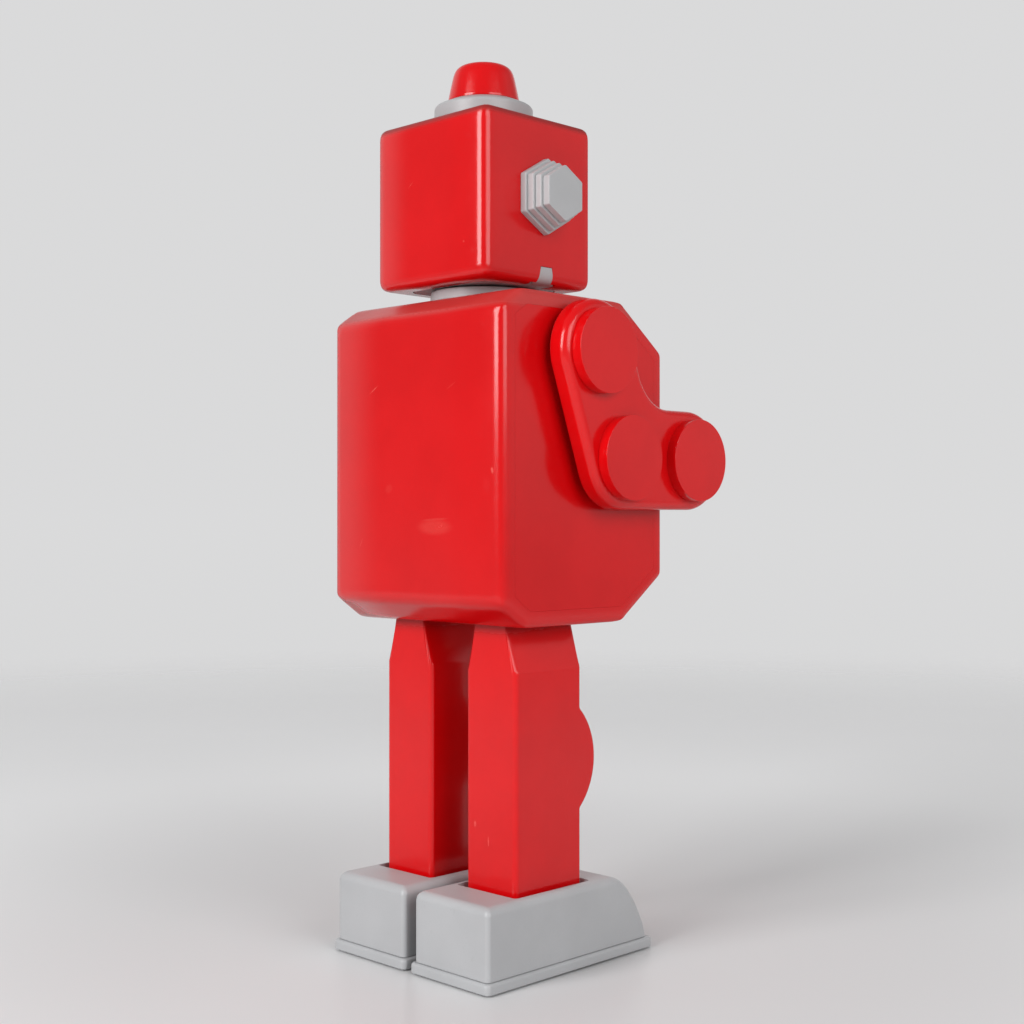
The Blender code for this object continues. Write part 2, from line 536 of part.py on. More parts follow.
# ----------------------------------------------------------------- clockwork
frame = [(-3.5, 79.7), (22, 79.7), (27.5, 85), (27.5, 122), (24, 125.5), (0, 125.5), (-14.5, 116), (-14.5, 89.0)]
frame = [(p[0], p[1]) for p in frame]
pillar_at = [(-11.3, 112.4), (5.0, 121.5), (24.6, 92.0)]
for side, s in SIDES:
    bores = [(A, 1.55), (B, 1.3), (C, 1.55), (D, 1.1), (P, 1.1), (HIP, 1.8)]
    holes = [circle(r, 10, c) for c, r in bores]
    holes += [circle(1.1, 8, c) for c in pillar_at]
    mp = put("motor_plate_" + side, prism("X", rounded(frame, 1.5, 45), s * 5.4, s * 6.6, holes), BRASS)
    for y0, y1 in TABS:
        boole(mp, box(*sorted((s * 5.4, s * 6.6)), y0, y1, 74.85, 80.5), "UNION")

for c, name in zip(pillar_at, ("front", "top", "rear")):
    put("motor_pillar_" + name, turned("X", c, [(-6.9, 0.8), (-5.1, 0.8), (-5.1, 1.6), (5.1, 1.6), (5.1, 0.8), (6.9, 0.8)], 8), BRASS)

# winding arbor with its square end, ratchet and the great wheel
ap = (0, *A)
arbor = put("winding_arbor", turned("X", A, [(-6.3, 1.25), (29.8, 1.25)], 12), STEEL, ap)
saw = []
for k in range(10):
    a = 2 * math.pi * k / 10
    saw += [(3.9 * math.cos(a), 3.9 * math.sin(a)), (2.9 * math.cos(a + 0.05), 2.9 * math.sin(a + 0.05))]
boole(arbor, prism("X", shift(saw, A), 2.6, 3.3), "UNION")
t_ab = angle(A, B)
put("great_wheel", prism("X", shift(gear(N_GREAT, MOD, t_ab), A), 3.7, 4.8, [circle(1.55, 12, A)]), BRASS, ap)
ck = [(A[0] + q[0], A[1] + q[1]) for q in [(-6.2, -3.2), (-4.3, -1.0), (-4.5, -0.4), (-7.3, -2.0), (-7.6, -3.0), (-7.0, -3.6)]]
put("click", prism("X", ck, 2.6, 3.4), STEEL, ap)

# mainspring: a flat spiral strip
turns, r_in, r_out, th, seg = 4, 2.6, 9.0, 0.45, 14
rows = []
for i in range(turns * seg + 1):
    w = 2 * math.pi * i / seg
    r = r_in + (r_out - r_in) * i / (turns * seg)
    rows.append([(x, A[0] + (r + d) * math.cos(w), A[1] + (r + d) * math.sin(w))
                 for x, d in ((-4.7, 0), (0.3, 0), (0.3, th), (-4.7, th))])
put("mainspring", loft(rows), BLUED)

# key
key = put("key", turned("X", A, [(27.9, 1.9), (31.0, 1.9), (31.0, 2.6), (32.0, 2.6)], 16), STEEL, ap)
boole(key, cyl("X", A, 1.55, 25, 30.2, 12))
wing = rounded([(30.4, A[1] - 1.4), (36.0, A[1] - 6.8), (36.0, A[1] + 6.8), (30.4, A[1] + 1.4)], [0.3, 1.6, 1.6, 0.3], 30)
wb = prism("Y", wing, A[0] - 0.8, A[0] + 0.8, [circle(1.0, 10, (34.5, A[1] - 3.5)), circle(1.0, 10, (34.5, A[1] + 3.5))])
boole(key, wb, "UNION")

# intermediate arbor
t_bc = angle(B, C)
ip = (0, *B)
inter = put("intermediate_wheel", prism("X", shift(gear(N_W1, MOD, t_bc), B), 0.9, 2.0), BRASS, ip)
boole(inter, prism("X", shift(gear(N_P1, MOD, t_ab + math.pi + math.pi / N_P1), B), 1.5, 5.0), "UNION")
boole(inter, cyl("X", B, 1.0, -6.3, 6.3, 12), "UNION")

# crankshaft: pinion, wheel and two opposite cranks
cp = (0, *C)
t_cd = angle(C, D)
crank = put("crankshaft", cyl("X", C, 1.25, -7.4, 7.4, 10), STEEL, cp)
boole(crank, prism("X", shift(gear(N_P2, MOD, t_bc + math.pi + math.pi / N_P2), C), 0.6, 2.4), "UNION")
for s, ph in ((-1, 1), (1, -1)):
    boole(crank, cyl("X", C, 3.2, *sorted((s * 6.9, s * 7.85)), 12), "UNION")
    boole(crank, cyl("X", (C[0] + ph * THROW, C[1]), 1.0, *sorted((s * 7.5, s * 9.6)), 8), "UNION")
boole(crank, prism("X", shift(gear(N_W2, MOD2, t_cd), C), -3.0, -2.0), "UNION")

# governor: pinion and star wheel, with a rocking pallet above them
gp = (0, *D)
gov = put("governor", cyl("X", D, 0.8, -6.3, 6.3, 10), STEEL, gp)
boole(gov, prism("X", shift(gear(N_P3, MOD2, t_cd + math.pi + math.pi / N_P3), D), -3.5, -1.5), "UNION")
star = []
for k in range(10):
    a = 2 * math.pi * k / 10
    star += [(4.4 * math.cos(a), 4.4 * math.sin(a)), (3.1 * math.cos(a + 0.31), 3.1 * math.sin(a + 0.31))]
boole(gov, prism("X", shift(star, D), -0.9, 0.1), "UNION")
pal = put("pallet", cyl("X", P, 0.8, -6.3, 6.3, 10), BRASS, (0, *P))
anchor = [(P[0] - 6.85, P[1] - 3.45), (P[0] - 6.25, P[1] - 4.0), (P[0] - 2.6, P[1] - 1.9), (P[0] + 1.6, P[1] - 1.9),
          (P[0] + 2.7, P[1] - 4.6), (P[0] + 3.5, P[1] - 4.4), (P[0] + 2.6, P[1] + 1.5), (P[0] - 2.4, P[1] + 1.5)]
boole(pal, prism("X", anchor, -1.0, 0.2), "UNION")

# hip axle: headed at the right end, a clip at the left end
put("hip_axle", turned("X", HIP, [(-18.2, 2.4), (-17.6, 3.0), (-16.4, 3.0), (-16.4, 1.5), (18.2, 1.5)], 12), STEEL)
put("hip_clip", ring("X", HIP, [(16.5, 1.8), (16.5, 3.2), (17.3, 3.2), (17.3, 1.8)], 12), STEEL)
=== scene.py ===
import math

import bmesh
import bpy
from mathutils import Matrix, Vector


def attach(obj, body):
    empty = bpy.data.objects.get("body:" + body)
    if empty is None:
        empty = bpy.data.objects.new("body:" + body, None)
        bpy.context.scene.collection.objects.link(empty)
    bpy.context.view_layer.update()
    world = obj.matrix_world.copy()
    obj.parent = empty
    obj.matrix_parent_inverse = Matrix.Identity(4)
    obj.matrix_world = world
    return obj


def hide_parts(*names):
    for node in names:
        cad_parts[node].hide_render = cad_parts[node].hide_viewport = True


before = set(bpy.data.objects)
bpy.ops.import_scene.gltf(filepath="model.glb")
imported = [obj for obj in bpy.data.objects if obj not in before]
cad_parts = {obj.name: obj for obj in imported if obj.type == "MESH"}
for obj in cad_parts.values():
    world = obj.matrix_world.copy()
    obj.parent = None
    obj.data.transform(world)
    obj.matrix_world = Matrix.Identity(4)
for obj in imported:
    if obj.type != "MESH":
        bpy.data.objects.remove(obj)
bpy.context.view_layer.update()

MM = 0.001
scene = bpy.context.scene

# ------------------------------------------------------------ sizes of the CAD
GAP = 0.3
TORSO_HW = 27.4
TORSO_Y0, TORSO_Y1 = -20.0, 31.45
TORSO_Z0, TORSO_Z1 = 74.7, 145.4
CH_FT, CH_FB, CH_BT, CH_BB = (13.95, 10.4), (13.6, 9.9), (6.0, 4.0), (7.1, 5.0)
HEAD_Y, HEAD_HX, HEAD_HY = 10.25, 17.8, 16.65
HEAD_Z0, HEAD_Z1 = 148.5, 185.2
EAR_Y, EAR_Z, EAR_A0, EAR_A1, EAR_X1 = 9.3, 167.4, 8.35, 6.15, 24.4
ARM_R, DISC_R = 11.1, 9.15
ARM_X0, ARM_X1, ARM_X2 = 29.2, 33.9, 36.3
SHOULDER, ELBOW, HAND = (8.6, 132.9), (0.45, 110.5), (-22.28, 110.5)
LEG_X0, LEG_X1, LEG_Y0, LEG_Y1, LEG_Y = 5.55, 20.8, 0.6, 21.1, 11.05
LEG_Z0, LEG_TAPER_Z, KNEE_Z, KNEE_R = 8.0, 64.9, 44.8, 15.2
HIP, ANKLE = (11.05, 92.0), (11.05, 11.0)
FOOT_X0, FOOT_X1, FOOT_Y0, FOOT_Y1 = 0.9, 25.0, -19.1, 33.38
FOOT_Z0, FLANGE_Z1, FOOT_TOP = 0.3, 2.65, 17.9
LIP, POCKET = 0.75, 1.5
ROLLER_R, ROLLER_Y = 3.0, (-7.5, 27.6)
ARBOR = (-1.0, 87.5)
SIDES = (("right", -1), ("left", 1))


# --------------------------------------------------------------- shape helpers
def circle(r, n, c=(0.0, 0.0), a0=0.0):
    return [(c[0] + r * math.cos(a0 + 2 * math.pi * i / n),
             c[1] + r * math.sin(a0 + 2 * math.pi * i / n)) for i in range(n)]


def rect(u0, u1, v0, v1):
    u0, u1 = min(u0, u1), max(u0, u1)
    return [(u0, v0), (u1, v0), (u1, v1), (u0, v1)]


def rounded(poly, radii, step=9.0):
    """Round each corner of a polygon with its own radius."""
    if not isinstance(radii, (list, tuple)):
        radii = [radii] * len(poly)
    out = []
    n = len(poly)
    for i in range(n):
        p0, p1, p2 = poly[i - 1], poly[i], poly[(i + 1) % n]
        r = radii[i]
        a = (p0[0] - p1[0], p0[1] - p1[1])
        b = (p2[0] - p1[0], p2[1] - p1[1])
        la, lb = math.hypot(*a), math.hypot(*b)
        a = (a[0] / la, a[1] / la)
        b = (b[0] / lb, b[1] / lb)
        half = math.acos(max(-1, min(1, a[0] * b[0] + a[1] * b[1]))) / 2
        if r <= 0 or half > math.pi / 2 - 0.01:
            out.append(p1)
            continue
        t = r / math.tan(half)
        m = (a[0] + b[0], a[1] + b[1])
        lm = math.hypot(*m)
        c = (p1[0] + m[0] / lm * r / math.sin(half), p1[1] + m[1] / lm * r / math.sin(half))
        s = math.atan2(p1[1] + a[1] * t - c[1], p1[0] + a[0] * t - c[0])
        e = math.atan2(p1[1] + b[1] * t - c[1], p1[0] + b[0] * t - c[0])
        d = (e - s + math.pi) % (2 * math.pi) - math.pi
        k = max(2, int(round(abs(math.degrees(d)) / step)))
        for j in range(k + 1):
            w = s + d * j / k
            q = (c[0] + r * math.cos(w), c[1] + r * math.sin(w))
            if not out or math.hypot(q[0] - out[-1][0], q[1] - out[-1][1]) > 1e-4:
                out.append(q)
    if math.hypot(out[0][0] - out[-1][0], out[0][1] - out[-1][1]) < 1e-4:
        out.pop()
    return out


def inset(poly, d):
    """Offset a convex counter-clockwise polygon inwards by d."""
    n = len(poly)
    lines = []
    for i in range(n):
        p, q = poly[i], poly[(i + 1) % n]
        length = math.hypot(q[0] - p[0], q[1] - p[1])
        nx, ny = -(q[1] - p[1]) / length, (q[0] - p[0]) / length
        lines.append((nx, ny, nx * p[0] + ny * p[1] + d))
    out = []
    for i in range(n):
        a, b = lines[i - 1], lines[i]
        det = a[0] * b[1] - a[1] * b[0]
        out.append(((a[2] * b[1] - a[1] * b[2]) / det, (a[0] * b[2] - a[2] * b[0]) / det))
    return out


def spline(points, k=6):
    """Catmull-Rom curve through the points, k steps in each span."""
    p = [points[0]] + list(points) + [points[-1]]
    out = []
    for i in range(1, len(p) - 2):
        for j in range(k):
            t = j / k
            q = []
            for d in (0, 1):
                a, b, c, e = p[i - 1][d], p[i][d], p[i + 1][d], p[i + 2][d]
                q.append(0.5 * (2 * b + (c - a) * t + (2 * a - 5 * b + 4 * c - e) * t * t
                                + (3 * b - a - 3 * c + e) * t ** 3))
            out.append(tuple(q))
    out.append(points[-1])
    return out


def arc_profile(points, radii, step=9.0):
    """Round the inner corners of an open (position, radius) profile."""
    if not isinstance(radii, (list, tuple)):
        radii = [0] + [radii] * (len(points) - 2) + [0]
    closed = list(points) + [(points[-1][0], -5.0), (points[0][0], -5.0)]
    got = rounded(closed, list(radii) + [0, 0], step)
    return [q for q in got if q[1] > -4.0]


def place(axis, a, u, v):
    return {"X": (a, u, v), "Y": (u, a, v), "Z": (u, v, a)}[axis]


def prism(axis, outer, a0, a1, holes=()):
    """Extrude an outline, with any holes, along an axis from a0 to a1."""
    a0, a1 = min(a0, a1), max(a0, a1)
    bm = bmesh.new()
    if holes:
        edges = []
        for lp in [outer] + list(holes):
            vs = [bm.verts.new(place(axis, a0, *q)) for q in lp]
            edges += [bm.edges.new((vs[i], vs[(i + 1) % len(vs)])) for i in range(len(vs))]
        bmesh.ops.triangle_fill(bm, use_beauty=True, use_dissolve=False, edges=edges)
    else:
        bm.faces.new([bm.verts.new(place(axis, a0, *q)) for q in outer])
    ext = bmesh.ops.extrude_face_region(bm, geom=bm.faces[:])
    vs = [g for g in ext["geom"] if isinstance(g, bmesh.types.BMVert)]
    bmesh.ops.translate(bm, verts=vs, vec=place(axis, a1 - a0, 0, 0))
    bmesh.ops.recalc_face_normals(bm, faces=bm.faces)
    return bm


def loft(loops):
    """Join loops of equal length in order and close both ends."""
    bm = bmesh.new()
    rows = [[bm.verts.new(p) for p in lp] for lp in loops]
    n = len(rows[0])
    for r0, r1 in zip(rows, rows[1:]):
        for i in range(n):
            bm.faces.new((r0[i], r0[(i + 1) % n], r1[(i + 1) % n], r1[i]))
    bm.faces.new(rows[0])
    bm.faces.new(rows[-1])
    bmesh.ops.recalc_face_normals(bm, faces=bm.faces)
    return bm


def turned(axis, centre, profile, n=72, a_off=0.0):
    return loft([[place(axis, a, *q) for q in circle(r, n, centre, a_off)] for a, r in profile])


def ring(axis, centre, profile, n=96):
    """Revolve a closed (position, radius) profile that stays off the axis."""
    bm = bmesh.new()
    rows = [[bm.verts.new(place(axis, a, *q)) for q in circle(r, n, centre)] for a, r in profile]
    m = len(rows)
    for k in range(m):
        r0, r1 = rows[k], rows[(k + 1) % m]
        for i in range(n):
            bm.faces.new((r0[i], r0[(i + 1) % n], r1[(i + 1) % n], r1[i]))
    bmesh.ops.recalc_face_normals(bm, faces=bm.faces)
    return bm


def box(x0, x1, y0, y1, z0, z1):
    return prism("Z", rect(x0, x1, y0, y1), z0, z1)


def cyl(axis, centre, r, a0, a1, n=48):
    return prism(axis, circle(r, n, centre), a0, a1)


def merge(*bms):
    """Several closed meshes in one."""
    out = bmesh.new()
    for bm in bms:
        me = bpy.data.meshes.new("part")
        bm.to_mesh(me)
        bm.free()
        out.from_mesh(me)
        bpy.data.meshes.remove(me)
    return out


def to_object(name, bm):
    bmesh.ops.scale(bm, vec=(MM, MM, MM), verts=bm.verts)
    me = bpy.data.meshes.new(name)
    bm.to_mesh(me)
    bm.free()
    ob = bpy.data.objects.new(name, me)
    scene.collection.objects.link(ob)
    return ob


def round_edges(ob, rule, seg=5, profile=0.5):
    """Round edges: rule(a, b, n1, n2) gives the offset in mm for the edge from a to b
    between faces with normals n1 and n2."""
    bm = bmesh.new()
    bm.from_mesh(ob.data)
    w = []
    for e in bm.edges:
        if len(e.link_faces) != 2:
            w.append(0.0)
            continue
        a, b = e.verts[0].co / MM, e.verts[1].co / MM
        n1, n2 = e.link_faces[0].normal, e.link_faces[1].normal
        w.append(float(rule(a, b, n1, n2)) if n1.dot(n2) < 0.99 else 0.0)
    bm.free()
    top = max(w)
    if top <= 0:
        return ob
    at = ob.data.attributes.new("bevel_weight_edge", "FLOAT", "EDGE")
    at.data.foreach_set("value", [x / top for x in w])
    m = ob.modifiers.new("round", "BEVEL")
    m.limit_method = "WEIGHT"
    m.width = top * MM
    m.segments = seg
    m.offset_type = "OFFSET"
    m.profile = profile
    m.miter_outer = "MITER_SHARP"
    m.use_clamp_overlap = True
    return ob


def round_all(ob, r, angle=25, seg=3):
    m = ob.modifiers.new("round", "BEVEL")
    m.limit_method = "ANGLE"
    m.angle_limit = math.radians(angle)
    m.width = r * MM
    m.segments = seg
    m.use_clamp_overlap = True
    return ob


_tools = []


def cut(ob, bm, op="DIFFERENCE"):
    t = to_object("cutter", bm)
    t.hide_render = True
    _tools.append(t)
    m = ob.modifiers.new("cut", "BOOLEAN")
    m.operation = op
    m.solver = "EXACT"
    m.object = t
    return ob


def piece(ob, mat, body, nodes=(), sharp=28.0, weighted=True):
    """Fix the modifiers, shade, paint and attach a piece."""
    bpy.context.view_layer.update()
    dg = bpy.context.evaluated_depsgraph_get()
    me = bpy.data.meshes.new_from_object(ob.evaluated_get(dg), depsgraph=dg)
    old = ob.data
    ob.modifiers.clear()
    ob.data = me
    me.name = ob.name
    bpy.data.meshes.remove(old)
    for t in _tools:
        d = t.data
        bpy.data.objects.remove(t, do_unlink=True)
        bpy.data.meshes.remove(d)
    _tools.clear()
    bm = bmesh.new()
    bm.from_mesh(me)
    bmesh.ops.remove_doubles(bm, verts=bm.verts, dist=1e-7)
    bmesh.ops.dissolve_degenerate(bm, dist=1e-7, edges=bm.edges)
    bm.to_mesh(me)
    bm.free()
    me.materials.clear()
    me.materials.append(mat)
    me.shade_smooth()
    me.set_sharp_from_angle(angle=math.radians(sharp))
    if weighted:
        m = ob.modifiers.new("normals", "WEIGHTED_NORMAL")
        m.keep_sharp = True
        m.weight = 50
    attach(ob, body)
    if nodes:
        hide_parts(*([nodes] if isinstance(nodes, str) else nodes))
    return ob


# ------------------------------------------------------------------- materials
def nd(t, kind, ins=None, **props):
    n = t.nodes.new(kind)
    for k, v in props.items():
        setattr(n, k, v)
    for k, v in (ins or {}).items():
        s = n.inputs[k]
        if isinstance(v, bpy.types.NodeSocket):
            t.links.new(v, s)
        else:
            s.default_value = v
    return n


def start(name):
    m = bpy.data.materials.new(name)
    m.use_nodes = True
    t = m.node_tree
    b = t.nodes["Principled BSDF"]
    co = nd(t, "ShaderNodeTexCoord").outputs["Object"]
    return m, t, b, co


def noise(t, co, scale, detail=2.0, rough=0.5, distortion=0.0, stretch=None):
    if stretch:
        co = nd(t, "ShaderNodeMapping", {"Vector": co, "Scale": stretch}).outputs[0]
    return nd(t, "ShaderNodeTexNoise", {"Vector": co, "Scale": scale, "Detail": detail,
                                        "Roughness": rough, "Distortion": distortion}).outputs["Fac"]


def remap(t, v, a, b, c, d, smooth=False):
    return nd(t, "ShaderNodeMapRange", {"Value": v, "From Min": a, "From Max": b, "To Min": c, "To Max": d},
              interpolation_type="SMOOTHSTEP" if smooth else "LINEAR").outputs[0]


def calc(t, op, a, b=0.0, clamp=False):
    n = nd(t, "ShaderNodeMath", operation=op, use_clamp=clamp)
    for i, v in enumerate((a, b)):
        if isinstance(v, bpy.types.NodeSocket):
            t.links.new(v, n.inputs[i])
        else:
            n.inputs[i].default_value = v
    return n.outputs[0]


def blend_rgb(t, f, a, b):
    n = nd(t, "ShaderNodeMix", data_type="RGBA")
    for i, v in ((0, f), (6, a), (7, b)):
        if isinstance(v, bpy.types.NodeSocket):
            t.links.new(v, n.inputs[i])
        elif i == 0:
            n.inputs[i].default_value = v
        else:
            n.inputs[i].default_value = (*v, 1.0)
    return n.outputs[2]


def mark(t, co, centre, size, rot=(0, 0, 0), soft=0.35, broken=0.0):
    """A soft-edged ellipse at a place on the surface, in mm, 0 to 1."""
    p = nd(t, "ShaderNodeMapping", {"Vector": co, "Location": [c * MM for c in centre],
                                    "Rotation": [math.radians(r) for r in rot],
                                    "Scale": [s * MM for s in size]}, vector_type="TEXTURE").outputs[0]
    d = nd(t, "ShaderNodeVectorMath", {0: p}, operation="LENGTH").outputs["Value"]
    m = remap(t, d, 1.0, soft, 0.0, 1.0, True)
    if broken:
        m = calc(t, "MULTIPLY", m, remap(t, noise(t, co, 2600.0, 3.0, 0.6), 0.5 - 0.12, 0.5 + 0.1, 1.0 - broken, 1.0))
    return m


def scratches(t, co, scale=220.0, seed=0.0):
    """Fine hairlines in a few directions, 0 to 1."""
    out = None
    for i, (ax, ay, az) in enumerate(((17, 31, 62), (-44, 12, 118), (71, -23, 8))):
        p = nd(t, "ShaderNodeMapping", {"Vector": co, "Rotation": [math.radians(a) for a in (ax, ay, az)],
                                        "Location": (seed + i * 0.37, seed * 0.7, i * 0.11),
                                        "Scale": (1.0, 26.0, 1.0)}).outputs[0]
        n = noise(t, p, scale * (1 + 0.35 * i), 1.0, 0.5)
        line = remap(t, n, 0.735, 0.76, 0.0, 1.0)
        out = line if out is None else calc(t, "MAXIMUM", out, line)
    return out


def bump(t, b, height, strength, distance, under=None):
    ins = {"Height": height, "Strength": strength, "Distance": distance}
    if under is not None:
        ins["Normal"] = under
    n = nd(t, "ShaderNodeBump", ins)
    t.links.new(n.outputs[0], b.inputs["Normal"])
    return n.outputs[0]


def red_gloss(name, marks=(), seed=0.0, rough=0.13, painted_light_gain=1.0, crown=None, painted_light_bands=(), wear=1.0):
    """Glossy red moulded plastic: slight depth variation, orange peel, hairlines, dust and scuffs; a gain paints a
    lighter copy of the same red as painted light, and bands by height paint shade and reflection.
    """
    m, t, b, co = start(name)
    wide = noise(t, co, 45.0 + seed, 3.0, 0.55)
    fine = noise(t, co, 700.0, 4.0, 0.6)
    speck = noise(t, co, 5200.0, 2.0, 0.5)
    lines = scratches(t, co, 230.0, seed)
    # the gain paints a lighter copy of the same red, as painted light
    c = blend_rgb(t, remap(t, wide, 0.3, 0.7, 0.0, 1.0, True), (0.555 * painted_light_gain, 0.0012, 0.0026), (0.605 * painted_light_gain, 0.0020, 0.0036))
    c = blend_rgb(t, remap(t, fine, 0.35, 0.75, 0.0, 0.10), c, (0.45 * painted_light_gain, 0.0008, 0.0015))
    dust = remap(t, speck, 0.83, 0.90, 0.0, 0.03)
    c = blend_rgb(t, dust, c, (0.70, 0.16, 0.13))
    r = remap(t, wide, 0.3, 0.7, rough - 0.02, rough + 0.03)
    for z0, z1, level, tone, flat in painted_light_bands:         # painted shade and painted reflection: a band by height blended towards a tone, and rougher
        z = nd(t, "ShaderNodeSeparateXYZ", {0: co}).outputs["Z"]
        k = calc(t, "MULTIPLY", remap(t, z, z0 * MM, z1 * MM, 0.0, level, True), remap(t, wide, 0.3, 0.7, 0.75, 1.0))
        nz = nd(t, "ShaderNodeSeparateXYZ", {0: nd(t, "ShaderNodeNewGeometry").outputs["Normal"]}).outputs["Z"]
        k = calc(t, "MULTIPLY", k, remap(t, nz, 0.86, 0.985, 1.0, flat, True))     # less on a level top
        c = blend_rgb(t, k, c, tone)
        r = calc(t, "ADD", r, calc(t, "MULTIPLY", k, 0.45))
    r = calc(t, "ADD", r, remap(t, fine, 0.3, 0.8, 0.0, 0.05))
    r = calc(t, "ADD", r, calc(t, "MULTIPLY", lines, 0.05 * wear))
    total = None
    for centre, size, rot, level in marks:
        k = mark(t, co, centre, size, rot, 0.4, 0.5 if level > 0.3 else 0.2)
        k = calc(t, "MULTIPLY", k, level)
        total = k if total is None else calc(t, "MAXIMUM", total, k)
    if total is not None:
        c = blend_rgb(t, total, c, (0.80, 0.13, 0.10))
        r = calc(t, "ADD", r, calc(t, "MULTIPLY", total, 0.35), True)
    t.links.new(c, b.inputs["Base Color"])
    t.links.new(r, b.inputs["Roughness"])
    b.inputs["IOR"].default_value = 1.46
    b.inputs["Specular IOR Level"].default_value = 0.5
    peel = noise(t, co, 420.0, 2.0, 0.4)
    h = calc(t, "ADD", peel, calc(t, "MULTIPLY", fine, 0.25))
    h = calc(t, "SUBTRACT", h, calc(t, "MULTIPLY", lines, 0.06 * wear))
    if total is not None:
        h = calc(t, "SUBTRACT", h, calc(t, "MULTIPLY", total, 1.2))
    under = None
    if crown:                                # a moulded face falls away a little near its edges
        axes = nd(t, "ShaderNodeSeparateXYZ", {0: co})
        drop = 0.0
        for axis, lo, hi, width, slope in crown:
            v = axes.outputs[axis]
            for edge, sgn in ((lo, -1.0), (hi, 1.0)):
                d = calc(t, "MAXIMUM", calc(t, "SUBTRACT", calc(t, "MULTIPLY", v, sgn), (sgn * edge - width) * MM), 0.0)
                drop = calc(t, "ADD", calc(t, "MULTIPLY", calc(t, "MULTIPLY", d, d), slope / (2.0 * width * MM)), drop)
        under = nd(t, "ShaderNodeBump", {"Height": calc(t, "SUBTRACT", 0.0, drop), "Strength": 1.0, "Distance": 1.0}).outputs[0]
    bump(t, b, h, 0.35, 0.000012, under)
    return m


def grey_satin(name, base=(0.395, 0.400, 0.410), rough=0.42, seed=0.0):
    """Light grey satin plastic: fine moulded grain, slight clouding, hairlines."""
    m, t, b, co = start(name)
    wide = noise(t, co, 60.0 + seed, 3.0, 0.5)
    fine = noise(t, co, 3400.0, 3.0, 0.6)
    lines = scratches(t, co, 260.0, seed + 3.0)
    k = lambda f: tuple(x * f for x in base)
    c = blend_rgb(t, remap(t, wide, 0.3, 0.7, 0.0, 1.0, True), k(0.965), k(1.035))
    c = blend_rgb(t, remap(t, fine, 0.45, 0.8, 0.0, 0.16), c, k(0.80))
    c = blend_rgb(t, calc(t, "MULTIPLY", lines, 0.10), c, k(0.7))
    t.links.new(c, b.inputs["Base Color"])
    r = remap(t, wide, 0.3, 0.7, rough - 0.04, rough + 0.05)
    r = calc(t, "ADD", r, remap(t, fine, 0.3, 0.7, -0.03, 0.03))
    t.links.new(r, b.inputs["Roughness"])
    b.inputs["IOR"].default_value = 1.46
    bump(t, b, calc(t, "SUBTRACT", fine, calc(t, "MULTIPLY", lines, 0.3)), 0.5, 0.00001)
    return m


def metal(name, c0, c1, rough=0.3, stretch=(1.0, 1.0, 30.0), tarnish=None):
    """Rolled metal: brushed grain along one axis, slight tarnish, small pits."""
    m, t, b, co = start(name)
    grain = noise(t, co, 420.0, 3.0, 0.6, 0.0, stretch)
    wide = noise(t, co, 140.0, 3.0, 0.6)
    pits = noise(t, co, 2400.0, 2.0, 0.5)
    c = blend_rgb(t, remap(t, grain, 0.3, 0.7, 0.0, 1.0), c0, c1)
    if tarnish:
        c = blend_rgb(t, remap(t, wide, 0.5, 0.72, 0.0, 0.55, True), c, tarnish)
    t.links.new(c, b.inputs["Base Color"])
    b.inputs["Metallic"].default_value = 1.0
    r = calc(t, "ADD", remap(t, grain, 0.3, 0.7, rough - 0.07, rough + 0.07), remap(t, wide, 0.45, 0.7, 0.0, 0.10))
    t.links.new(r, b.inputs["Roughness"])
    bump(t, b, calc(t, "ADD", grain, calc(t, "MULTIPLY", pits, 0.3)), 0.5, 0.00001)
    return m


def lens_amber(name):
    """Amber lens: moulded facets under the surface, slight clouding."""
    m, t, b, co = start(name)
    v = nd(t, "ShaderNodeTexVoronoi", {"Vector": co, "Scale": 1300.0}, feature="DISTANCE_TO_EDGE").outputs["Distance"]
    wide = noise(t, co, 300.0, 2.0, 0.5)
    c = blend_rgb(t, remap(t, v, 0.0, 0.12, 0.0, 1.0, True), (0.98, 0.42, 0.02), (0.90, 0.62, 0.06))
    c = blend_rgb(t, remap(t, wide, 0.4, 0.7, 0.0, 0.4), c, (0.95, 0.34, 0.01))
    t.links.new(c, b.inputs["Base Color"])
    t.links.new(remap(t, wide, 0.3, 0.7, 0.05, 0.11), b.inputs["Roughness"])
    b.inputs["Coat Weight"].default_value = 0.6
    b.inputs["Coat Roughness"].default_value = 0.04
    bump(t, b, remap(t, v, 0.0, 0.12, 0.0, 1.0, True), 0.25, 0.00002)
    return m


def rubber(name):
    m, t, b, co = start(name)
    fine = noise(t, co, 2800.0, 4.0, 0.65)
    wide = noise(t, co, 150.0, 3.0, 0.5)
    c = blend_rgb(t, remap(t, fine, 0.35, 0.7, 0.0, 1.0), (0.018, 0.018, 0.019), (0.040, 0.039, 0.038))
    c = blend_rgb(t, remap(t, wide, 0.5, 0.75, 0.0, 0.5), c, (0.075, 0.071, 0.066))
    t.links.new(c, b.inputs["Base Color"])
    t.links.new(remap(t, fine, 0.3, 0.7, 0.62, 0.82), b.inputs["Roughness"])
    bump(t, b, fine, 0.6, 0.00004)
    return m


def printed(name, c0, c1, rough=0.35):
    m, t, b, co = start(name)
    fine = noise(t, co, 3000.0, 4.0, 0.6)
    wide = noise(t, co, 180.0, 3.0, 0.5)
    c = blend_rgb(t, remap(t, wide, 0.3, 0.7, 0.0, 1.0, True), c0, c1)
    c = blend_rgb(t, remap(t, fine, 0.45, 0.8, 0.0, 0.18), c, tuple(x * 0.75 for x in c0))
    t.links.new(c, b.inputs["Base Color"])
    t.links.new(remap(t, fine, 0.3, 0.7, rough - 0.05, rough + 0.06), b.inputs["Roughness"])
    bump(t, b, fine, 0.4, 0.00001)
    return m


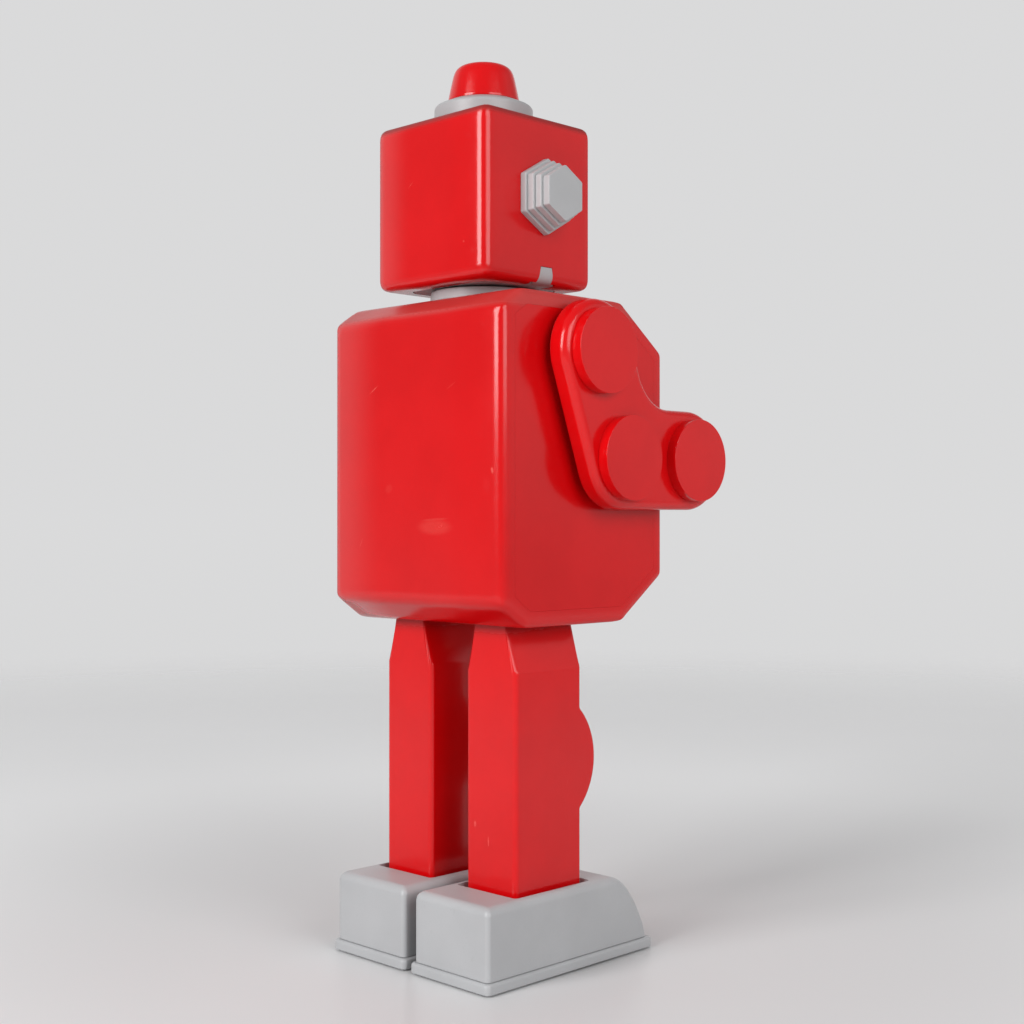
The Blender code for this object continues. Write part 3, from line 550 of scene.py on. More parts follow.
# scuffs: (centre, half sizes, rotation in degrees, level)
TORSO_MARKS = [
    ((13.1, TORSO_Y1, 126.0), (2.1, 3.0, 0.16), (0, 31, 0), 0.50),
    ((-12.0, TORSO_Y1, 125.5), (2.0, 3.0, 0.16), (0, 28, 0), 0.16),
    ((-24.3, TORSO_Y1 - 0.4, 107.4), (0.5, 3.0, 0.9), (0, 12, 0), 0.45),
    ((-6.8, TORSO_Y1, 95.7), (6.6, 3.0, 2.1), (0, 0, 0), 0.16),
    ((-6.8, TORSO_Y1, 97.3), (5.2, 3.0, 0.35), (0, 3, 0), 0.16),
    ((8.0, TORSO_Y1, 104.0), (1.6, 3.0, 1.2), (0, 20, 0), 0.07),
    ((17.5, TORSO_Y1, 92.0), (1.5, 3.0, 0.10), (0, 64, 0), 0.30),
    ((-20.0, -8.0, 138.0), (0.6, 1.2, 0.6), (20, 0, 0), 0.25),
]
LEG_MARKS = [
    ((-8.5, LEG_Y1, 31.5), (0.50, 2.0, 1.05), (0, 4, 0), 0.42),
    ((-12.6, LEG_Y1, 28.3), (0.24, 2.0, 1.5), (0, 3, 0), 0.50),
    ((-5.6, LEG_Y1, 45.0), (0.3, 1.2, 1.3), (0, 6, 0), 0.25),
    ((-20.2, 5.0, 40.0), (0.8, 0.25, 1.6), (18, 0, 0), 0.25),
]
HEAD_MARKS = [
    ((6.0, HEAD_Y + HEAD_HY, 171.0), (1.3, 2.0, 0.12), (0, 38, 0), 0.35),
    ((-11.0, HEAD_Y + HEAD_HY, 156.5), (0.35, 2.0, 0.3), (0, 0, 0), 0.35),
]

# the band on the torso's top chamfer is painted shade and painted reflection: a duller red with a pale tint for the
# reflected backdrop
RED_TORSO = red_gloss("red_torso", TORSO_MARKS, 0.0,
                      crown=(("X", -TORSO_HW, TORSO_HW, 17.0, 0.24), ("Z", TORSO_Z0, TORSO_Z1, 15.0, 0.05)),
                      painted_light_bands=((140.6, 142.2, 0.42, (0.40, 0.085, 0.075), 0.7),))
RED_SIDE = red_gloss("red_side", (), 2.0)
# the band on the head's top rounded edge is painted shade: a dark maroon line, weaker on the level top
RED_HEAD = red_gloss("red_head", HEAD_MARKS, 4.0, crown=(("X", -HEAD_HX, HEAD_HX, 12.0, 0.27),),
                     painted_light_bands=((182.9, 184.4, 0.75, (0.13, 0.020, 0.018), 0.12),))
# the arms use the same red painted 5 % lighter, as painted light
RED_ARM = red_gloss("red_arm", (), 6.0, 0.15, 1.05)
# the band on the top 4 mm of the legs is painted shade under the torso; the leg red is also painted 8 % lighter as
# painted light
RED_LEG = red_gloss("red_leg", LEG_MARKS, 8.0, 0.155, 1.08, painted_light_bands=((71.5, 75.5, 0.60, (0.10, 0.0006, 0.0010), 1.0),), wear=0.3)
RED_CAP = red_gloss("red_cap", (), 10.0, 0.11)
GREY_FOOT = grey_satin("grey_foot", (0.425, 0.430, 0.440), seed=1.0)
GREY_HEAD = grey_satin("grey_head", (0.405, 0.408, 0.415), seed=5.0)
GREY_COLLAR = grey_satin("grey_collar", (0.365, 0.367, 0.373), seed=7.0)
GREY_PANEL = grey_satin("grey_panel", (0.37, 0.375, 0.385), 0.38, 9.0)
STEEL = metal("steel", (0.50, 0.51, 0.53), (0.66, 0.67, 0.69), 0.28, (1.0, 30.0, 1.0), (0.34, 0.32, 0.30))
STEEL_X = metal("steel_shaft", (0.48, 0.49, 0.51), (0.64, 0.65, 0.67), 0.24, (30.0, 1.0, 1.0), (0.30, 0.29, 0.28))
BRASS = metal("brass", (0.68, 0.47, 0.17), (0.80, 0.59, 0.25), 0.27, (1.0, 1.0, 26.0), (0.42, 0.25, 0.08))
BLUED = metal("blued_steel", (0.07, 0.09, 0.16), (0.14, 0.17, 0.27), 0.30, (26.0, 1.0, 1.0), (0.16, 0.11, 0.09))
LENS = lens_amber("amber_lens")
RUBBER = rubber("roller_rubber")
DIAL = printed("dial_white", (0.80, 0.79, 0.74), (0.86, 0.85, 0.81))
INK = printed("dial_ink", (0.020, 0.020, 0.022), (0.035, 0.034, 0.034), 0.5)

# ----------------------------------------------------------------------- torso
profile = [(TORSO_Y0 + CH_FB[0], TORSO_Z0), (TORSO_Y1 - CH_BB[0], TORSO_Z0),
           (TORSO_Y1, TORSO_Z0 + CH_BB[1]), (TORSO_Y1, TORSO_Z1 - CH_BT[1]),
           (TORSO_Y1 - CH_BT[0], TORSO_Z1), (TORSO_Y0 + CH_FT[0], TORSO_Z1),
           (TORSO_Y0, TORSO_Z1 - CH_FT[1]), (TORSO_Y0, TORSO_Z0 + CH_FB[1])]
RIM = 3.2                                    # rounding where the wrap turns to the sides
PANEL_IN = 3.5                               # the side panel starts here, in the flat


def torso_rule(a, b, n1, n2):
    if abs(a.x - b.x) > 1e-3:
        return 2.5                           # along X: between the planes of the wrap
    return RIM


shell = to_object("torso_wrap", prism("X", profile, -TORSO_HW, TORSO_HW))
round_edges(shell, torso_rule, 10, 0.66)
cut(shell, prism("X", rounded(inset(profile, 1.3), 1.2), -24.3, 24.3))
cut(shell, prism("X", rounded(inset(profile, PANEL_IN), 1.0), -30, 30))
cut(shell, prism("Z", rounded(rect(-18.0, -7.9, -1.4, 23.05), 0.8), 73, 78))
cut(shell, prism("Z", rounded(rect(7.9, 18.0, -1.4, 23.05), 0.8), 73, 78))
cut(shell, cyl("Z", (0, HEAD_Y), 6.0, 142, 147, 64))
for s in (-1, 1):
    for y0, y1 in ((0.5, 4.5), (17.0, 21.0)):
        cut(shell, box(s * 5.1, s * 6.9, y0 - GAP, y1 + GAP, 73, 78))
for x, z in ((-6.5, 113.5), (8.0, 113.5)):
    cut(shell, cyl("Y", (x, z), 1.5, -22, -16, 32))
piece(shell, RED_TORSO, "torso", "torso_shell")

for side, s in SIDES:
    holes = [circle(2.4, 40, SHOULDER)]
    if side == "left":
        holes.append(circle(1.6, 32, ARBOR))
    p = to_object("torso_panel_" + side, prism("X", rounded(inset(profile, PANEL_IN + 0.03), 1.0),
                                               s * (TORSO_HW - 1.3), s * TORSO_HW))
    for h in holes:
        cut(p, prism("X", h, s * 20, s * 30))
    piece(p, RED_SIDE, "torso", "torso_side_" + side)

# chest: raised panel, gauge and knob
fy = TORSO_Y0 - GAP
panel = to_object("chest_plate", prism("Y", rounded(rect(-15.5, 15.5, 98, 127), 3.0), fy - 1.6, fy))
round_edges(panel, lambda a, b, n1, n2: 0.55 if max(a.y, b.y) < fy - 1.0 else 0.0, 4)
groove = prism("Y", rounded(rect(-14.0, 14.0, 99.5, 125.5), 2.2), fy - 2.0, fy - 1.35,
               [rounded(rect(-13.4, 13.4, 100.1, 124.9), 1.9)])
cut(panel, groove)
for c in ((-6.5, 113.5), (8.0, 113.5)):
    cut(panel, cyl("Y", c, 1.5, fy - 3, fy + 1, 32))
for z in (101.6, 122.4):                      # moulded slots above and below the instruments
    cut(panel, prism("Y", rounded(rect(-10.0, 10.0, z, z + 0.6), 0.28), fy - 2.0, fy - 1.3))
piece(panel, GREY_PANEL, "torso", "chest_panel")

py = fy - 1.6 - GAP
GX, GZ = -6.5, 113.5
bezel_prof = arc_profile([(py + 4.6, 1.2), (py, 1.2), (py, 8.0), (py - 2.0, 7.6), (py - 2.0, 6.5), (py - 1.1, 6.3),
                          (py - 1.1, 0.6)], [0, 0, 0.25, 0.35, 0.25, 0.15, 0])
bez = to_object("gauge_case", turned("Y", (GX, GZ), bezel_prof, 96))
piece(bez, DIAL, "torso", "chest_gauge")
rim_prof = [(py - 0.3, 8.0), (py - 1.7, 7.95), (py - 2.0, 7.6), (py - 2.0, 6.75), (py - 1.75, 6.45), (py - 1.15, 6.35),
            (py - 1.15, 7.3), (py - 0.3, 7.3)]
bezel = to_object("gauge_bezel", ring("Y", (GX, GZ), [(a, min(r, 8.0)) for a, r in rim_prof], 96))
piece(bezel, STEEL, "torso", None, 40)
marks_bm = []
for k in range(11):
    w = math.radians(225 - 27 * k)
    long = k % 5 == 0
    r0, r1, hw = (4.4, 5.7, 0.17) if long else (4.9, 5.7, 0.10)
    u, v = (math.cos(w), math.sin(w)), (-math.sin(w), math.cos(w))
    quad = [(GX + u[0] * a + v[0] * h, GZ + u[1] * a + v[1] * h) for a, h in ((r0, -hw), (r1, -hw), (r1, hw), (r0, hw))]
    marks_bm.append(prism("Y", quad, py - 1.18, py - 1.08))
w = math.radians(118)
u, v = (math.cos(w), math.sin(w)), (-math.sin(w), math.cos(w))
needle = [(GX + u[0] * a + v[0] * h, GZ + u[1] * a + v[1] * h) for a, h in ((-1.4, -0.32), (0.0, -0.42), (5.0, -0.06),
                                                                        (5.0, 0.06), (0.0, 0.42), (-1.4, 0.32))]
ticks = to_object("gauge_scale", merge(*marks_bm))
piece(ticks, INK, "torso", None, weighted=False)
ndl = to_object("gauge_needle", merge(prism("Y", needle, py - 1.5, py - 1.3),
                                      turned("Y", (GX, GZ), [(py - 1.09, 0.5), (py - 1.52, 0.7), (py - 1.75, 0.55), (py - 1.85, 0.2)], 32)))
piece(ndl, RED_CAP, "torso", None, weighted=False)

# knob with a fluted grip
rows = []
nk = 120
for a, r, amp in ((py + 4.6, 1.2, 0), (py, 1.2, 0), (py, 3.6, 0.0), (py - 0.25, 3.85, 0.15), (py - 2.6, 3.6, 0.16),
                  (py - 2.9, 3.4, 0.1), (py - 3.0, 3.1, 0.0), (py - 3.0, 2.5, 0), (py - 2.75, 2.3, 0), (py - 2.75, 0.4, 0)):
    rows.append([place("Y", a, 8.0 + (r + amp * math.cos(20 * q)) * math.cos(q), 113.5 + (r + amp * math.cos(20 * q)) * math.sin(q))
                 for q in [2 * math.pi * i / nk for i in range(nk)]])
kn = to_object("knob_grip", loft(rows))
piece(kn, RED_ARM, "torso", "chest_knob", 40)
pt = to_object("knob_pointer", prism("Y", rounded(rect(7.75, 8.25, 113.9, 115.7), 0.2), py - 2.95, py - 2.7))
piece(pt, DIAL, "torso", None, weighted=False)

nr = to_object("neck_spacer", ring("Z", (0, HEAD_Y), [(TORSO_Z1 + GAP, 6.0), (TORSO_Z1 + GAP, 11.8), (TORSO_Z1 + GAP + 0.2, 12.0),
                                                     (HEAD_Z0 - GAP - 0.5, 12.0), (HEAD_Z0 - GAP - 0.15, 11.85),
                                                     (HEAD_Z0 - GAP, 11.5), (HEAD_Z0 - GAP, 6.0)], 96))
piece(nr, GREY_HEAD, "torso", "neck_ring", 40)

# ------------------------------------------------------------------------ head
hy0, hy1 = HEAD_Y - HEAD_HY, HEAD_Y + HEAD_HY
head = to_object("head_box", box(-HEAD_HX, HEAD_HX, hy0, hy1, HEAD_Z0, HEAD_Z1))
round_edges(head, lambda a, b, n1, n2: 3.4, 10, 0.66)
cut(head, box(-HEAD_HX + 1.6, HEAD_HX - 1.6, hy0 + 1.6, hy1 - 1.6, HEAD_Z0 + 1.6, HEAD_Z1 - 1.6))
cut(head, prism("Z", rounded(rect(-12.7, 12.7, HEAD_Y - 11.7, HEAD_Y + 11.7), 3.0), HEAD_Z0 - 1, HEAD_Z0 + 3))
TAB = [(4.9, HEAD_Z0), (6.2, HEAD_Z0 + 1.0), (6.75, 152.25), (10.1, 152.25), (10.9, HEAD_Z0 + 1.0), (12.0, HEAD_Z0)]


def widen(poly, d):
    c = (sum(q[0] for q in poly) / len(poly), sum(q[1] for q in poly) / len(poly))
    return [(q[0] + math.copysign(d, q[0] - c[0]), q[1] + (d if q[1] > c[1] else -2.0)) for q in poly]


for s in (-1, 1):
    cut(head, prism("X", widen(TAB, 0.12), s * 15.7, s * 19.3))
    cut(head, box(s * 11.9, s * 16.8, 4.6, 12.3, HEAD_Z0 - 1, HEAD_Z0 + 1.6))
    cut(head, cyl("X", (EAR_Y, EAR_Z), 2.7, s * 15.3, s * 19.3, 32))
    cut(head, cyl("Y", (s * 7.2, 170.5), 3.6, hy0 - 2, hy0 + 3, 48))
cut(head, prism("Y", rect(-8, 8, 155.2, 160.8), hy0 - 2, hy0 + 3))
cut(head, cyl("Z", (0, HEAD_Y), 3.0, HEAD_Z1 - 4, HEAD_Z1 + 2, 40))
piece(head, RED_HEAD, "head", "head_shell")

base = to_object("head_floor", prism("Z", rounded(rect(-12.4, 12.4, HEAD_Y - 11.4, HEAD_Y + 11.4), 2.7), HEAD_Z0 + 0.05, HEAD_Z0 + 1.3,
                                     [circle(4.4, 64, (0, HEAD_Y))]))
for s in (-1, 1):
    tab = prism("X", TAB, s * 15.9, s * 18.4)
    cut(base, tab, "UNION")
    cut(base, prism("Y", rect(s * 11.0, s * 16.2, HEAD_Z0 + 0.05, HEAD_Z0 + 1.3), 4.9, 12.0), "UNION")
# trim the tabs flush with the rounded lower edge of the head
trim = to_object("trim", box(-HEAD_HX + 0.03, HEAD_HX - 0.03, hy0, hy1, HEAD_Z0 + 0.03, HEAD_Z1))
round_edges(trim, lambda a, b, n1, n2: 3.4, 10, 0.66)
trim.hide_render = True
_tools.append(trim)
mod = base.modifiers.new("cut", "BOOLEAN")
mod.operation, mod.solver, mod.object = "INTERSECT", "EXACT", trim
piece(base, GREY_HEAD, "head", "head_base_plate", 35)

for side, s in SIDES:
    c = (s * 7.2, 170.5)
    rim = to_object("eye_rim_" + side, ring("Y", c, [(hy0 - GAP, 3.3), (hy0 - GAP, 4.85), (hy0 - GAP - 0.2, 5.0), (hy0 - 1.1, 5.0),
                                                     (hy0 - 1.45, 4.75), (hy0 - 1.45, 4.1), (hy0 - 1.1, 3.9), (hy0 - 0.8, 3.3)], 72))
    piece(rim, GREY_HEAD, "head", "eye_" + side, 40)
    dome = [(hy0 + 2.6, 3.15), (hy0 - 0.6, 3.15), (hy0 - 0.85, 3.85)]
    for k in range(9):
        q = math.radians(8 + 78 * k / 8)
        dome.append((hy0 - 1.05 - 2.0 * math.sin(q) / math.sin(math.radians(86)), 3.85 * math.cos(q)))
    lens = to_object("eye_lens_" + side, turned("Y", c, dome, 64))
    piece(lens, LENS, "head", None, 40)

mg = to_object("mouth_bars", prism("Y", rounded(rect(-9.5, 9.5, 153.8, 162.2), 1.5), hy0 - GAP - 1.4, hy0 - GAP,
                                   [rounded(rect(x - 0.7, x + 0.7, 155.4, 160.6), 0.5) for x in (-5.6, -2.8, 0.0, 2.8, 5.6)]))
round_edges(mg, lambda a, b, n1, n2: 0.35 if max(a.y, b.y) < hy0 - 1.5 else 0.0, 3)
piece(mg, GREY_HEAD, "head", "mouth_grille")

# ears: four hexagonal plates, each a little smaller than the last
for side, s in SIDES:
    x0 = HEAD_HX + 0.02
    pitch = (EAR_X1 - x0) / 4
    loops = [(15.4, 2.2), (x0, 2.2), (x0, EAR_A0 - 0.05), (x0 + 0.08, EAR_A0)]
    for k in range(4):
        a = EAR_A0 + (EAR_A1 - EAR_A0) * k / 3
        xa = x0 + k * pitch
        xb = xa + pitch - (0.0 if k == 3 else 0.18)
        if k:
            loops += [(xa + 0.02, a)]
        loops += [(xb - 0.22, a - 0.05), (xb - 0.06, a - 0.12), (xb, a - 0.30)]
        if k < 3:
            nxt = EAR_A0 + (EAR_A1 - EAR_A0) * (k + 1) / 3
            loops += [(xb, nxt - 0.16), (xb + 0.18, nxt - 0.16)]
    bm = loft([[(s * a, *q) for q in rounded(circle(r, 6, (EAR_Y, EAR_Z), math.pi / 6), 0.45 if r > 3 else 0.4, 20)] for a, r in loops])
    piece(to_object("ear_stack_" + side, bm), GREY_HEAD, "head", "ear_" + side, 30)

zc = HEAD_Z1 + 0.05
cp = arc_profile([(HEAD_Z1 - 3.4, 2.6), (zc, 2.6), (zc, 11.1), (189.65, 11.1), (190.85, 8.35), (190.85, 2.0)], [0, 0, 0.2, 0.9, 0.25, 0])
piece(to_object("collar_ring", turned("Z", (0, HEAD_Y), cp, 128)), GREY_COLLAR, "head", "collar", 40)
bp = [(190.9, 7.9), (191.05, 8.05)] + spline([(191.3, 8.07), (193.0, 7.72), (195.0, 7.3), (196.8, 6.88), (197.9, 6.45), (198.6, 5.85),
                                              (199.05, 5.0), (199.25, 3.6), (199.29, 1.8), (199.3, 0.4)], 5)
piece(to_object("cap_dome", turned("Z", (0, HEAD_Y), bp, 128)), RED_CAP, "head", "beacon_cap", 40)

# ------------------------------------------------------------------------ arms
du = (ELBOW[0] - SHOULDER[0], ELBOW[1] - SHOULDER[1])
lu = math.hypot(*du)
du = (du[0] / lu, du[1] / lu)
nf = (du[1], -du[0])
if nf[0] > 0:
    nf = (-nf[0], -nf[1])


def on_line(p, d, z):
    k = (z - p[1]) / d[1]
    return (p[0] + d[0] * k, z)


ARM_ROUND = 1.9                              # rounding of the plate's outer rim


def arm_outline(r, inner_r, step=6.0):
    fr = (SHOULDER[0] + nf[0] * r, SHOULDER[1] + nf[1] * r)
    bk = (SHOULDER[0] - nf[0] * r, SHOULDER[1] - nf[1] * r)
    top = (-du[0] * r, -du[1] * r)
    poly = [(bk[0] + top[0], bk[1] + top[1]), (fr[0] + top[0], fr[1] + top[1]),
            on_line(fr, du, ELBOW[1] + r), (HAND[0] - r, HAND[1] + r), (HAND[0] - r, HAND[1] - r),
            on_line(bk, du, ELBOW[1] - r)]
    return rounded(poly, [r * 0.9999, r * 0.9999, inner_r, r * 0.9999, r * 0.9999, r], step)


for side, s in SIDES:
    steps = [(ARM_X0, 0.5), (ARM_X0 + 0.15, 0.15), (ARM_X0 + 0.5, 0.0)]
    steps += [(ARM_X1 - ARM_ROUND * (1 - math.sin(q)), ARM_ROUND * (1 - math.cos(q))) for q in [math.radians(9 * k) for k in range(11)]]
    arm = to_object("arm_slab_" + side, loft([[(s * x, *q) for q in arm_outline(ARM_R - d, 11.0 + d)] for x, d in steps]))
    for c in (ELBOW, HAND):
        cut(arm, cyl("X", c, 1.5, s * (ARM_X1 - 2.6), s * (ARM_X1 + 2), 24))
    cut(arm, cyl("X", SHOULDER, 2.1, s * (ARM_X0 - 2), s * (ARM_X1 + 2), 32))
    piece(arm, RED_ARM, "arm_" + side, "arm_plate_" + side)
    for part, c in (("shoulder", SHOULDER), ("elbow", ELBOW), ("hand", HAND)):
        prof = [(s * (ARM_X1 + 0.03), DISC_R), (s * (ARM_X2 - 0.09), DISC_R), (s * (ARM_X2 - 0.03), DISC_R - 0.03), (s * ARM_X2, DISC_R - 0.09)]
        if part != "shoulder":
            prof = [(s * (ARM_X1 - 2.2), 1.2), (s * (ARM_X1 + 0.03), 1.2)] + prof
        piece(to_object(part + "_boss_" + side, turned("X", c, prof, 96)), RED_ARM, "arm_" + side, part + "_disc_" + side,
              40)

# ------------------------------------------------------------------------ legs
a_k = math.acos((LEG_Y - LEG_Y0) / KNEE_R)
knee = [(LEG_Y - KNEE_R * math.cos(w), KNEE_Z + KNEE_R * math.sin(w)) for w in [a_k * (1 - 2 * i / 28) for i in range(29)]]
leg_profile = [(LEG_Y1, LEG_Z0), (LEG_Y1, LEG_TAPER_Z), (LEG_Y0, LEG_TAPER_Z)] + knee + [(LEG_Y0, LEG_Z0)]
leg_profile = leg_profile[::-1]


def leg_rule(a, b, n1, n2):
    if min(a.y, b.y) > LEG_Y1 - 0.1 and abs(a.z - b.z) > 1.0 and max(a.z, b.z) < 78.0:
        return 1.25                          # the two upright edges at the back
    if max(a.z, b.z) > 75.2 or max(a.z, b.z) < 8.5:
        return 0.0 if max(a.z, b.z) > 78.0 else (0.3 if max(a.z, b.z) < 8.5 else 0.75)
    if abs(a.x - b.x) > 1e-3:
        if abs(a.z - LEG_TAPER_Z) < 0.1:
            return 0.5
        return 0.55
    if n1.angle(n2) < math.radians(35):
        return 0.5
    return 0.75


for side, s in SIDES:
    bm = prism("X", leg_profile, s * LEG_X0, s * LEG_X1)
    top = [f for f in bm.faces if all(abs(v.co.z - LEG_TAPER_Z) < 1e-4 for v in f.verts)]
    steps = [((8.75, 17.2), (LEG_Y0, LEG_Y1), 75.5), ((8.75, 17.2), (LEG_Y0, LEG_Y1), 79.0),
             ((9.7, 16.0), (4.0, 18.1), 79.0), ((9.7, 16.0), (4.0, 18.1), 98.5)]
    xs, ys = (LEG_X0, LEG_X1), (LEG_Y0, LEG_Y1)
    for nx, ny, z in steps:
        ext = bmesh.ops.extrude_face_region(bm, geom=top)
        bmesh.ops.delete(bm, geom=[f for f in top if f.is_valid], context="FACES_ONLY")
        top = [g for g in ext["geom"] if isinstance(g, bmesh.types.BMFace)]
        for v in {v for f in top for v in f.verts}:
            ax = nx[0] if abs(abs(v.co.x) - xs[0]) < abs(abs(v.co.x) - xs[1]) else nx[1]
            ay = ny[0] if abs(v.co.y - ys[0]) < abs(v.co.y - ys[1]) else ny[1]
            v.co = (s * ax, ay, z)
        xs, ys = nx, ny
    bmesh.ops.recalc_face_normals(bm, faces=bm.faces)
    leg = to_object("leg_post_" + side, bm)
    round_edges(leg, leg_rule, 4)
    cut(leg, cyl("X", HIP, 1.8, s * 4, s * 22, 32))
    cut(leg, cyl("X", ANKLE, 1.5, s * 4, s * 22, 32))
    piece(leg, RED_LEG, "leg_" + side, "leg_" + side)

# ------------------------------------------------------------------------ feet
sy0, sy1 = FOOT_Y0 + LIP, FOOT_Y1 - LIP
shell_z = FLANGE_Z1 + 0.12
toe = spline([(-17.95, 4.3), (-17.45, 5.8), (-16.6, 7.7), (-15.4, 9.9), (-14.1, 11.95), (-12.6, 13.95), (-11.1, 15.5), (-9.6, 16.65),
              (-7.9, 17.45), (-6.0, FOOT_TOP)], 3)
foot_side = [(sy1, shell_z), (sy1, FOOT_TOP)] + toe[::-1] + [(sy0, shell_z)]
PX0, PX1 = LEG_X0 - POCKET, LEG_X1 + POCKET
PY0, PY1 = LEG_Y0 - POCKET, LEG_Y1 + POCKET


def foot_rule(a, b, n1, n2):
    if max(a.z, b.z) < shell_z + 0.05:
        return 0.0
    if abs(a.x - b.x) > 1e-3:
        return 1.9 if min(a.y, b.y) > 25 and min(a.z, b.z) > 15 else 0.0
    if min(a.y, b.y) > 25 and min(a.z, b.z) < 5:
        return 1.1                           # upright edges at the heel
    return 1.9


for side, s in SIDES:
    x0, x1 = s * (FOOT_X0 + LIP), s * (FOOT_X1 - LIP)
    ob = to_object("foot_box_" + side, prism("X", foot_side, x0, x1))
    round_edges(ob, foot_rule, 6)
    ix = (s * (FOOT_X0 + LIP + 1.8), s * (FOOT_X1 - LIP - 1.8))
    front = [(PY0 - 1.3, 0), (PY0 - 1.3, FOOT_TOP - 1.8), (-6.0, FOOT_TOP - 2.1), (-9.3, 14.7), (-11.7, 12.3),
             (-14.3, 8.3), (-16.0, 5.2), (sy0 + 1.5, 0)]
    cut(ob, prism("X", front, *ix))
    cut(ob, box(*ix, PY1 + 1.3, sy1 - 2.0, 0, FOOT_TOP - 2.0))
    cut(ob, box(*ix, PY0 - 1.4, PY1 + 1.4, 0, 5.0))
    cut(ob, prism("Z", rounded(rect(s * PX0, s * PX1, PY0, PY1), 1.0), 6.4, 22))
    cut(ob, cyl("X", ANKLE, 1.5, s * (PX0 - 1.1), s * (PX1 + 1.1), 32))
    cut(ob, cyl("Z", (s * 12.8, 11.05), 1.3, 4, 7, 32))
    piece(ob, GREY_FOOT, "foot_" + side, "foot_shell_" + side)

    outline = rounded(rect(s * FOOT_X0, s * FOOT_X1, FOOT_Y0, FOOT_Y1), 1.2)
    sole = to_object("foot_sole_" + side, prism("Z", outline, FOOT_Z0, FLANGE_Z1))
    round_edges(sole, lambda a, b, n1, n2: (0.7 if a.z > 1.5 else 0.35) if abs(a.z - b.z) < 1e-3 else 0.0, 4)
    for y in ROLLER_Y:
        cut(sole, prism("Z", rounded(rect(s * 6.6, s * 19.0, y - 3.5, y + 3.5), 0.5), -1, 4))
    cut(sole, cyl("Z", (s * 12.8, 11.05), 1.3, -1, 4, 32))
    for y in ROLLER_Y:
        for xa, xb in ((4.3, 6.2), (19.4, 21.3)):
            cut(sole, prism("X", [(y - 2.2, 1.5), (y + 2.2, 1.5), (y + 1.3, 4.9), (y - 1.3, 4.9)], s * xa, s * xb), "UNION")
        cut(sole, cyl("X", (y, ROLLER_R), 1.15, s * 3.9, s * 21.7, 24))
        d = 1 if y < 0 else -1
        tongue = [(y + d * 3.9, 3.3), (y + d * 3.9, 3.9), (y + d * 8.6, 2.8), (y + d * 8.6, 2.0), (y + d * 7.0, 2.0)]
        cut(sole, prism("X", tongue, s * 9.5, s * 16.0), "UNION")
        name = "roller_%s_%s" % ("front" if y < 0 else "rear", side)
        prof = [(s * 4.5, 0.7), (s * 4.6, 0.8), (s * 6.9, 0.8), (s * 6.9, 2.7), (s * 7.1, 2.93), (s * 7.35, 3.0)]
        for k in range(1, 8):                 # moulded tread grooves
            g = 7.35 + (18.25 - 7.35) * k / 8
            prof += [(s * (g - 0.16), 3.0), (s * (g - 0.09), 2.82), (s * (g + 0.09), 2.82), (s * (g + 0.16), 3.0)]
        prof += [(s * 18.25, 3.0), (s * 18.5, 2.93), (s * 18.7, 2.7), (s * 18.7, 0.8), (s * 21.0, 0.8), (s * 21.1, 0.7)]
        piece(to_object(name + "_tread", turned("X", (y, ROLLER_R), prof, 48)), RUBBER, name, name, 35)
    cut(sole, cyl("Z", (s * 12.8, 11.05), 2.4, 0, 1.4, 48))
    piece(sole, GREY_FOOT, "foot_" + side, "sole_plate_" + side)
    scr = to_object("screw_" + side, turned("Z", (s * 12.8, 11.05), [(0.5, 0.2), (0.5, 1.6), (0.62, 1.95), (0.85, 2.1), (1.1, 2.1),
                                                                    (1.1, 1.0), (6.0, 1.0), (6.2, 0.8)], 48))
    cut(scr, box(s * 12.8 - 0.28, s * 12.8 + 0.28, 8.0, 14.0, 0.3, 0.85))
    piece(scr, STEEL, "foot_" + side, "sole_screw_" + side, 35)

# ------------------------------------------------------------------- wind-up key
A = ARBOR
key = to_object("key_wing", turned("X", A, arc_profile([(27.9, 1.9), (31.0, 1.9), (31.2, 2.6), (32.0, 2.6)], [0, 0.1, 0.15, 0]), 48))
wing = rounded([(30.4, A[1] - 1.4), (36.0, A[1] - 6.8), (36.0, A[1] + 6.8), (30.4, A[1] + 1.4)], [0.3, 1.6, 1.6, 0.3], 10)
wob = prism("Y", wing, A[0] - 0.8, A[0] + 0.8)
cut(key, wob, "UNION")
for dz in (-3.5, 3.5):
    cut(key, cyl("Y", (34.5, A[1] + dz), 1.0, A[0] - 2, A[0] + 2, 32))
cut(key, cyl("X", A, 1.55, 25, 30.2, 32))
round_all(key, 0.22, 30, 3)
piece(key, STEEL, "winding", "key", 35)

# ------------------------------------------- carried-over nodes: metal finishes
FINISH = [
    (("neck_post", "shoulder_rivet", "hip_axle", "ankle_pin", "winding_arbor", "crankshaft", "governor"), STEEL_X),
    (("hip_clip", "click", "drive_lever"), STEEL),
    (("motor_plate", "motor_pillar", "great_wheel", "intermediate_wheel", "pallet"), BRASS),
    (("mainspring",), BLUED),
]
for name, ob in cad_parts.items():
    if ob.hide_render:
        continue
    for starts, mat in FINISH:
        if name.startswith(starts):
            ob.data.materials.clear()
            ob.data.materials.append(mat)
            break
    else:
        raise RuntimeError("no finish for " + name)

# ------------------------------------------------------------------------ stage
FLOOR_R = 3.0
fm, ft, fb, fco = start("floor_mat")
n = noise(ft, fco, 9.0, 3.0, 0.5)
fc = blend_rgb(ft, remap(ft, n, 0.3, 0.7, 0.0, 1.0, True), (0.724, 0.723, 0.728), (0.736, 0.735, 0.740))
fb.inputs["Specular IOR Level"].default_value = 0.35
dist = nd(ft, "ShaderNodeVectorMath", {0: fco}, operation="LENGTH").outputs["Value"]
